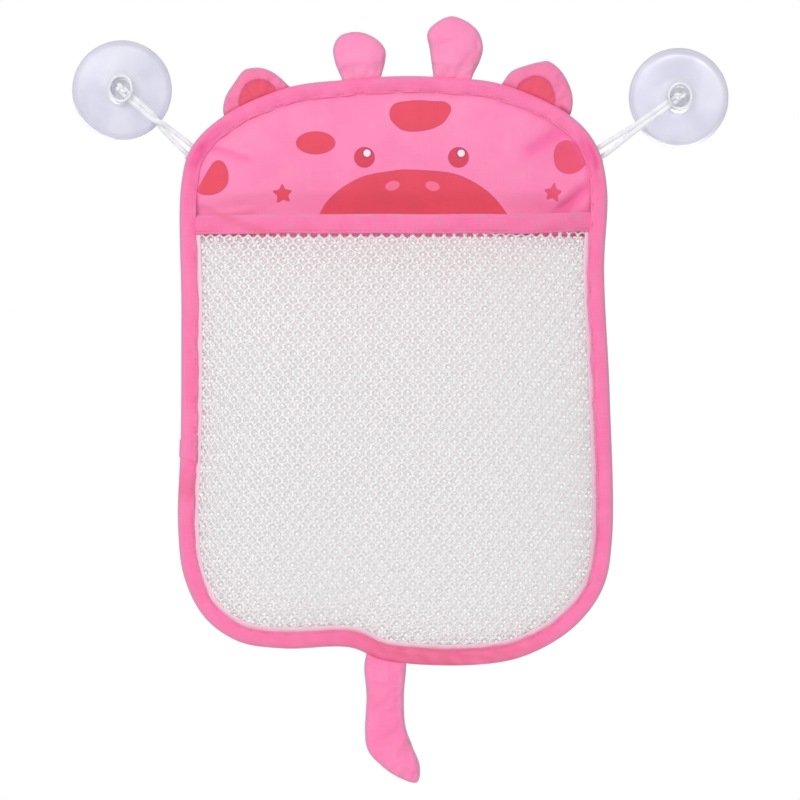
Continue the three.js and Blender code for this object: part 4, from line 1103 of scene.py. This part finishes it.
# Mouth band. The same tape is folded over the pocket net's top edge and sewn through near its foot,
# and its ends go into the binding.
BAND_SECTION = [  # reach in front of the net, and z
    (0, -73.35), (0.7, -73.6), (1.1, -74.4), (1.25, -76), (1.35, -79), (1.25, -81.8), (1.0, -83.2),
    (1.15, -84.2), (1.0, -84.95), (0.62, -84.9), (0.6, -79), (0.55, -74.9), (0.3, -74.3), (0, -74.1),
    (-0.3, -74.3), (-0.55, -74.9), (-0.6, -80), (-0.6, -86.3), (-1.0, -86.5), (-1.1, -83), (-1.15, -76),
    (-1.05, -74.4), (-0.7, -73.6)]
BAND_TOP_Z, BAND_STITCH_Z, BAND_HEM_Z = -73.6, -83.2, -84.9
FRONT_LEG_REACH, THREAD_REACH = 0.8, 1.08
INTO_BINDING, BAND_EVERY = 7, 1.2  # how far each end goes on past the mouth, and the rings' spacing
BAND_RISE, RISE_FROM, RISE_TO = 2.2, 72, 124  # the right end sits higher, from and to these x
# Where a line of painted shade crosses the band near its left end, and its slope.
BAND_CREASE, CREASE_SLOPE = (-96, -78), 2.4
mouth_from, mouth_to = rim[-2:, 0].min(), rim[-2:, 0].max()
band_x = np.arange(mouth_from - INTO_BINDING, mouth_to + INTO_BINDING + 0.1, BAND_EVERY)
mouth_z = np.full(len(band_x), mouth_centre[1])
band_line = np.column_stack([band_x, pocket_y(band_x, mouth_z)])
band_line[:, 1] += POCKET_WAVE * ripple(band_x, mouth_z, 46, 51) * smoothstep(
    np.minimum(band_x - mouth_from, mouth_to - band_x), 0, 30)
band_lengths = lengths_along(band_line)
band_along = directions(band_line)
band_out = np.column_stack([band_along[:, 1], -band_along[:, 0]])
section = np.array(BAND_SECTION)
s_grid, z_grid = np.meshgrid(band_lengths, section[:, 1], indexing="ij")
free_length = smoothstep(np.minimum(s_grid, band_lengths[-1] - s_grid), 6, 16)
front_leg = section[:, 0] > FRONT_LEG_REACH
wrinkle = 0.25 * ripple(s_grid, z_grid * 1.5, 8, 71) + 0.2 * ripple(s_grid, z_grid, 20, 72)
at_seam = np.exp(-(((z_grid - BAND_STITCH_Z) / 1.6) ** 2))
fine = 0.14 * np.sin(s_grid * 2 * np.pi / TAPE_STITCH["spacing"]) * at_seam
reach_grid = section[:, 0][None] + (wrinkle * free_length + fine) * front_leg
band_lift = 0.35 * ripple(band_lengths, 0 * band_lengths, 26, 73)
band_lift += BAND_RISE * smoothstep(band_x, RISE_FROM, RISE_TO)
z_final = z_grid + band_lift[:, None] * np.maximum(free_length, smoothstep(s_grid, 200, 230))
rings = np.stack([band_line[:, None, 0] + reach_grid * band_out[:, None, 0],
                  band_line[:, None, 1] + reach_grid * band_out[:, None, 1], z_final], -1)
# Painted shade and sheen along the band's top fold and its foot, and painted shade on its lower half and
# across a crease near its left end.
band_worn = 0.6 * np.exp(-(((z_grid - BAND_TOP_Z) / 1.2) ** 2))
band_worn += 0.5 * np.exp(-(((z_grid - BAND_HEM_Z) / 0.8) ** 2))
band_worn = np.clip(band_worn + 0.25 * ripple(s_grid, 1.5 * z_grid, 9, 74), 0, 1)
band_dim = 0.26 * smoothstep(-z_grid, 76.5, 81.5)
band_dim *= 0.7 + 0.5 * ripple(s_grid - 2 * z_grid, z_grid, 20, 75)
crease_x = BAND_CREASE[0] - CREASE_SLOPE * (z_grid - BAND_CREASE[1])
band_dim += 0.5 * np.exp(-(((band_x[:, None] - crease_x) / 6) ** 2))
around = lengths_along(np.vstack([section, section[:1]]))
band = swept("mouth_band_tape", rings[:, ::-1], band_lengths, around[::-1],
             attributes={"worn": band_worn[:, ::-1], "dim": np.clip(band_dim, 0, 0.6)[:, ::-1]})
band.data.materials.append(tape_cloth)
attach(band, "bag")
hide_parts("pocket_band")
line = np.column_stack([band_line + THREAD_REACH * band_out, BAND_STITCH_Z + band_lift])
row = stitches("mouth_band_stitches", line[6:-6], np.column_stack([band_out, 0 * band_x])[6:-6],
               pink_thread, seed=14, **TAPE_STITCH)
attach(row, "bag")

# Ears, horns and tail. Each is a front and a back cut from the head's cloth, sewn together round the
# rim and stuffed, and its open end is caught in the seam under the binding.
STUFFED_Y = -8.2
STUFFED = {
    "left_ear": dict(
        left=[(-100, -21), (-106, -13), (-105.2, -3), (-99.5, 6.5), (-93.5, 14), (-87, 15.4)],
        right=[(-60, -2), (-66.8, 4.3), (-72, 9.4), (-77.5, 13.2), (-82.5, 15.1), (-87, 15.4)],
        depth=4.2,
        red=[(-96.8, -7.1), (-96.5, -2.3), (-94.4, 2.5), (-90.8, 6.1), (-86, 7.9), (-81.2, 7.6),
             (-77.6, 5.5), (-74.9, 3.1), (-74, -6), (-90, -14)]),
    "right_ear": dict(
        left=[(55, -2), (61, 5.8), (66.5, 13), (76.6, 17), (84, 18.8), (88.8, 19.3)],
        right=[(97, -20), (102.4, -12), (103.4, -2.5), (100.6, 6.7), (95.4, 14.6), (88.8, 19.3)],
        depth=4.2,
        red=[(70, 3.7), (72.4, 6.7), (76.6, 9.1), (80.8, 10), (85.6, 9.1), (89.2, 6.1), (91.6, 1.3),
             (92.8, -6.2), (86, -14), (68, -6)]),
    "left_horn": dict(
        left=[(-31.5, -2), (-34.8, 7.7), (-39.4, 19), (-40.2, 27.6), (-36, 34.5), (-25, 36.8)],
        right=[(-13.5, -2), (-11.7, 9), (-9.2, 18.5), (-9, 26), (-14.2, 32.5), (-25, 36.8)], depth=6),
    "right_horn": dict(
        left=[(21, -2), (19.7, 10.4), (17.6, 26), (16.2, 36), (21.6, 42.4), (31.5, 46.2)],
        right=[(40.5, -2), (43, 9.1), (48.2, 20.5), (49.6, 28), (45.6, 38.6), (31.5, 46.2)], depth=6),
    "tail": dict(
        left=[(-18, -328), (-21.6, -343), (-20.4, -360), (-20, -393), (-11.5, -403.4), (-1, -410.6),
              (10, -413.6)],
        right=[(2, -328), (3.5, -343), (2.2, -362), (3.2, -380), (7.4, -392), (11.8, -404),
               (10, -413.6)],
        depth=6.4)}
SEWN_UNDER, COVER_PITCH = 1.4, 1.3
EAR_RED = (245, 92, 117)
# The covers' simulation: how much larger than life it runs and for how many frames, the cover's growth,
# the furthest that a point may move, and the share of its depth that a cover starts with.
SIM_SCALE, SIM_FRAMES, COVER_GROWTH, STUFFING_PRESSURE, FURTHEST_MOVE = 10, 20, 0.055, 5, 1.7
STARTING_SHARE = 0.78
# The painted shade round the covers' rims, and the ears' painted shade.
COVER_EDGE_SHADE, EAR_SHADE = (214, 146, 180), (196, 66, 110)
# Each ear's line of painted shade along a crease: from, to and how dark. Each dent: x, z, its reaches and
# its share of the depth.
EAR_CREASES = {"left_ear": ((-75, 3), (-66, 1.5), 0.3), "right_ear": ((96.3, -8.8), (103, -13.5), 1)}
DENTS = {
    "left_ear": [(-100, -8, (3, 3), 0.5), (-76, 1.5, (3.5, 2), 0.4)],
    "right_ear": [(98, -10, (4, 2), 0.6), (66, 3, (3, 2), 0.35)],
    "left_horn": [(-13.8, 10.6, (3, 4.5), 0.4), (-24, 15.5, (6, 2.2), 0.18), (-33, 9, (2.2, 4), 0.25)],
    "right_horn": [(23.4, 23, (2.8, 3.6), 0.32), (41.5, 20.5, (3, 3), 0.3), (46.5, 28, (1.6, 5), 0.3)],
    "tail": [(-9, -338, (8, 2.5), 0.25), (-15, -352, (3, 7), 0.2), (-1, -372, (2.6, 8), 0.25),
             (4, -394, (5, 3.5), 0.2)]}

printed_ear_cloth = cloth_material(
    "printed_ear_cloth", (247, 135, 176), (241, 116, 164), prints=[(EAR_RED, "red_print", True)],
    worn=COVER_EDGE_SHADE, dim=EAR_SHADE)
horn_cloth = cloth_material("horn_cloth", (254, 153, 195), (249, 134, 184), worn=COVER_EDGE_SHADE)
tail_cloth = cloth_material("tail_cloth", (253, 140, 186), (250, 122, 175), worn=COVER_EDGE_SHADE)


def beyond_edge(outline):
    """A stuffed piece's outline as far as its foot, which is caught under the binding's fold."""
    outline = outline[distance_inside(outline, bag_edge) < SEWN_UNDER]
    foot = edge_inset(SEWN_UNDER)
    start = int(np.argmin(np.linalg.norm(foot - outline[-1], axis=1)))
    end = int(np.argmin(np.linalg.norm(foot - outline[0], axis=1)))
    count = len(foot)
    onward = np.arange(start, start + (end - start) % count + 1) % count
    back = np.arange(start, start - (start - end) % count - 1, -1) % count
    foot_line = foot[onward if len(onward) < len(back) else back]
    return outline, foot_line[1:-1]


def nearness(points, start, end, reach):
    """1 on the line from start to end, falling softly to 0 beyond the reach."""
    start, way = np.array(start), np.subtract(end, start)
    share = np.clip((points - start) @ way / (way @ way), 0, 1)
    return np.exp(-((np.linalg.norm(points - start - share[:, None] * way, axis=1) / reach) ** 2))


def pillow(name, left, right, depth, cloth, red=None, crease=None):
    """A front and a back joined round the rim, domed a little already, with the foot's points held."""
    rim, foot = beyond_edge(smooth_curve(left + right[-2::-1], OUTLINE_STEP))
    outline = np.vstack([rim, foot])
    at, triangles = filled(outline, COVER_PITCH)
    x, z = at.T
    inside = distance_inside(at, outline)
    from_foot = -distance_inside(at, bag_edge)
    full = float(inside.max())
    share = np.clip(inside / full, 0, 1)
    dome = np.sqrt(1 - (1 - share) ** 2.4)
    thinner_at_foot = 0.62 + 0.38 * smoothstep(from_foot, 0, 14)
    thick = STARTING_SHARE * np.minimum(depth, 0.86 * full) * dome * thinner_at_foot
    seam_puckers = 1 + 0.16 * ripple(x, z, 4.5, 81) * np.exp(-inside / 3.5) + 0.06 * ripple(x, z, 13, 82)
    on_rim = inside < 0.05
    thick = np.where(on_rim, 0, np.maximum(thick * seam_puckers, 0.05))
    back_number = np.where(on_rim, np.arange(len(at)), len(at) + np.cumsum(~on_rim) - 1)
    points = np.vstack([np.column_stack([x, STUFFED_Y - thick, z]),
                        np.column_stack([x, STUFFED_Y + 0.85 * thick, z])[~on_rim]])
    fronts = facing_front(at, triangles)
    backs = back_number[fronts[:, ::-1]]
    faces = np.vstack([fronts, backs])
    flat = np.vstack([at, at[~on_rim] + [300, 0]])
    # Painted shade round the cover's rim.
    rim_shade = 0.9 * np.exp(-((inside / 1.9) ** 2)) * smoothstep(from_foot, 0, 3)
    attributes = {"worn": np.concatenate([rim_shade, rim_shade[~on_rim]])}
    if red is not None:
        inked = distance_inside(at, smooth_curve(red, OUTLINE_STEP, closed=True))
        # Painted shade along the ear's crease and at its foot by the binding, and a darker rim along the
        # red print.
        start, end, strength = crease
        dim = np.maximum.reduce([
            strength * nearness(at, start, end, 1.3), 0.55 * np.exp(-((from_foot / 1.2) ** 2)),
            0.35 * np.exp(-(((inked - 0.6) / 1.2) ** 2))])
        attributes["dim"] = np.concatenate([dim, dim[~on_rim]])
        on_front = np.where(on_rim, np.minimum(inked, -1), inked)
        attributes["red_print"] = np.append(on_front, np.full(np.sum(~on_rim), -9))
    piece = new_piece(name, points, faces.tolist(), flat[faces.ravel()], attributes)
    piece.data.materials.append(cloth)
    held = np.append(on_rim | (from_foot < 0.8), from_foot[~on_rim] < 0.8)
    return piece, outline, foot, np.flatnonzero(held).tolist()


def start_stuffing(piece, held):
    """Gives a cover Blender's Cloth: a little larger than its stuffing, and held along its seams."""
    piece.data.transform(Matrix.Scale(SIM_SCALE, 4))
    piece.vertex_groups.new(name="sewn").add(held, 1.0, "REPLACE")
    cloth = piece.modifiers.new("stuffing", "CLOTH").settings
    cloth.quality = 8
    cloth.tension_stiffness = cloth.compression_stiffness = 40
    cloth.shear_stiffness, cloth.bending_stiffness = 20, 0.06
    cloth.use_pressure, cloth.uniform_pressure_force = True, STUFFING_PRESSURE
    cloth.effector_weights.gravity = 0
    cloth.vertex_group_mass, cloth.shrink_min = "sewn", -COVER_GROWTH


def coordinates(mesh):
    found = np.empty(3 * len(mesh.vertices), np.float32)
    mesh.vertices.foreach_get("co", found)
    return found.reshape(-1, 3) / SIM_SCALE


def end_stuffing(piece, dents):
    """Keeps the simulated shape as the cover's own mesh, with no point moved too far, and dents it."""
    before = coordinates(piece.data)
    move = coordinates(piece.evaluated_get(bpy.context.evaluated_depsgraph_get()).data) - before
    far = np.maximum(np.linalg.norm(move, axis=1), 1e-9)
    after = before + move * np.minimum(1, FURTHEST_MOVE * MM / far)[:, None]
    for dent_x, dent_z, (reach_x, reach_z), share in dents:
        away = ((after[:, 0] / MM - dent_x) / reach_x) ** 2 + ((after[:, 2] / MM - dent_z) / reach_z) ** 2
        after[:, 1] += share * np.exp(-away) * (STUFFED_Y * MM - after[:, 1])
    piece.modifiers.clear()
    piece.vertex_groups.clear()
    piece.data.vertices.foreach_set("co", after.ravel())
    piece.data.update()


covers = {}
for name, shape in STUFFED.items():
    cloth = printed_ear_cloth if "ear" in name else tail_cloth if name == "tail" else horn_cloth
    covers[name] = pillow(name + "_cover", cloth=cloth, crease=EAR_CREASES.get(name), **shape)
    start_stuffing(covers[name][0], covers[name][3])
for frame_number in range(1, SIM_FRAMES + 1):
    bpy.context.scene.frame_set(frame_number)
for name, (piece, *_) in covers.items():
    end_stuffing(piece, DENTS[name])
bpy.context.scene.frame_set(1)
for name, (piece, outline, foot, _) in covers.items():
    foot_middle = foot.mean(0)
    outwards = outline.mean(0) - foot_middle
    outwards /= np.linalg.norm(outwards)
    start, end = foot_middle, foot_middle + 10 * outwards
    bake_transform(piece)
    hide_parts(*(f"{name}_{layer}" for layer in ("front", "back", "wadding")))

# Studio. A white room lights the bag evenly, one large lamp stands at the upper left, a weaker one at
# the right and one above and behind, and a pale floor lies below the tail.
ROOM_LIGHT = 0.55
LAMPS = {  # place in metres, size and power
    "key_lamp": ((-0.9, -1.5, 0.75), 1.0, 17), "fill_lamp": ((1.1, -1.3, 0.1), 0.9, 4),
    "back_lamp": ((0.3, 1.2, 0.75), 0.9, 9.5)}
LAMPS_AIM = (0, 0, -0.17)

world = bpy.data.worlds.new("white_room")
bpy.context.scene.world = world
world.use_nodes = True
room = world.node_tree
path = add(room, "ShaderNodeLightPath")
seen = maths(room, "MINIMUM", 1.0, maths(room, "ADD", path["Is Camera Ray"], maths(
    room, "ADD", path["Is Glossy Ray"], path["Is Transmission Ray"])))
background = room.nodes["Background"].inputs
room.links.new(maths(room, "ADD", ROOM_LIGHT, maths(room, "MULTIPLY", seen, 1 - ROOM_LIGHT)),
               background["Strength"])
background["Color"].default_value = (1, 1, 1, 1)
for name, (place, size, power) in LAMPS.items():
    lamp = in_scene(name, bpy.data.lights.new(name, "AREA"))
    lamp.data.size, lamp.data.energy = size, power
    lamp.location = place
    aim = np.subtract(LAMPS_AIM, place)
    lean = math.acos(-aim[2] / np.linalg.norm(aim))
    lamp.rotation_euler = (lean, 0, math.atan2(aim[1], aim[0]) - math.pi / 2)

floor_material = new_material("pale_floor", Roughness=0.9, Base_Color=srgb(247, 247, 248))[0]
bpy.ops.mesh.primitive_plane_add(size=1)
floor = bpy.context.object
floor.name = "floor"
floor.data.transform(Matrix.Translation((0, -0.1, -0.5)) @ Matrix.Diagonal((1.3, 1, 1, 1)))
floor.data.materials.append(floor_material)

bpy.context.scene.view_settings.view_transform = "Standard"
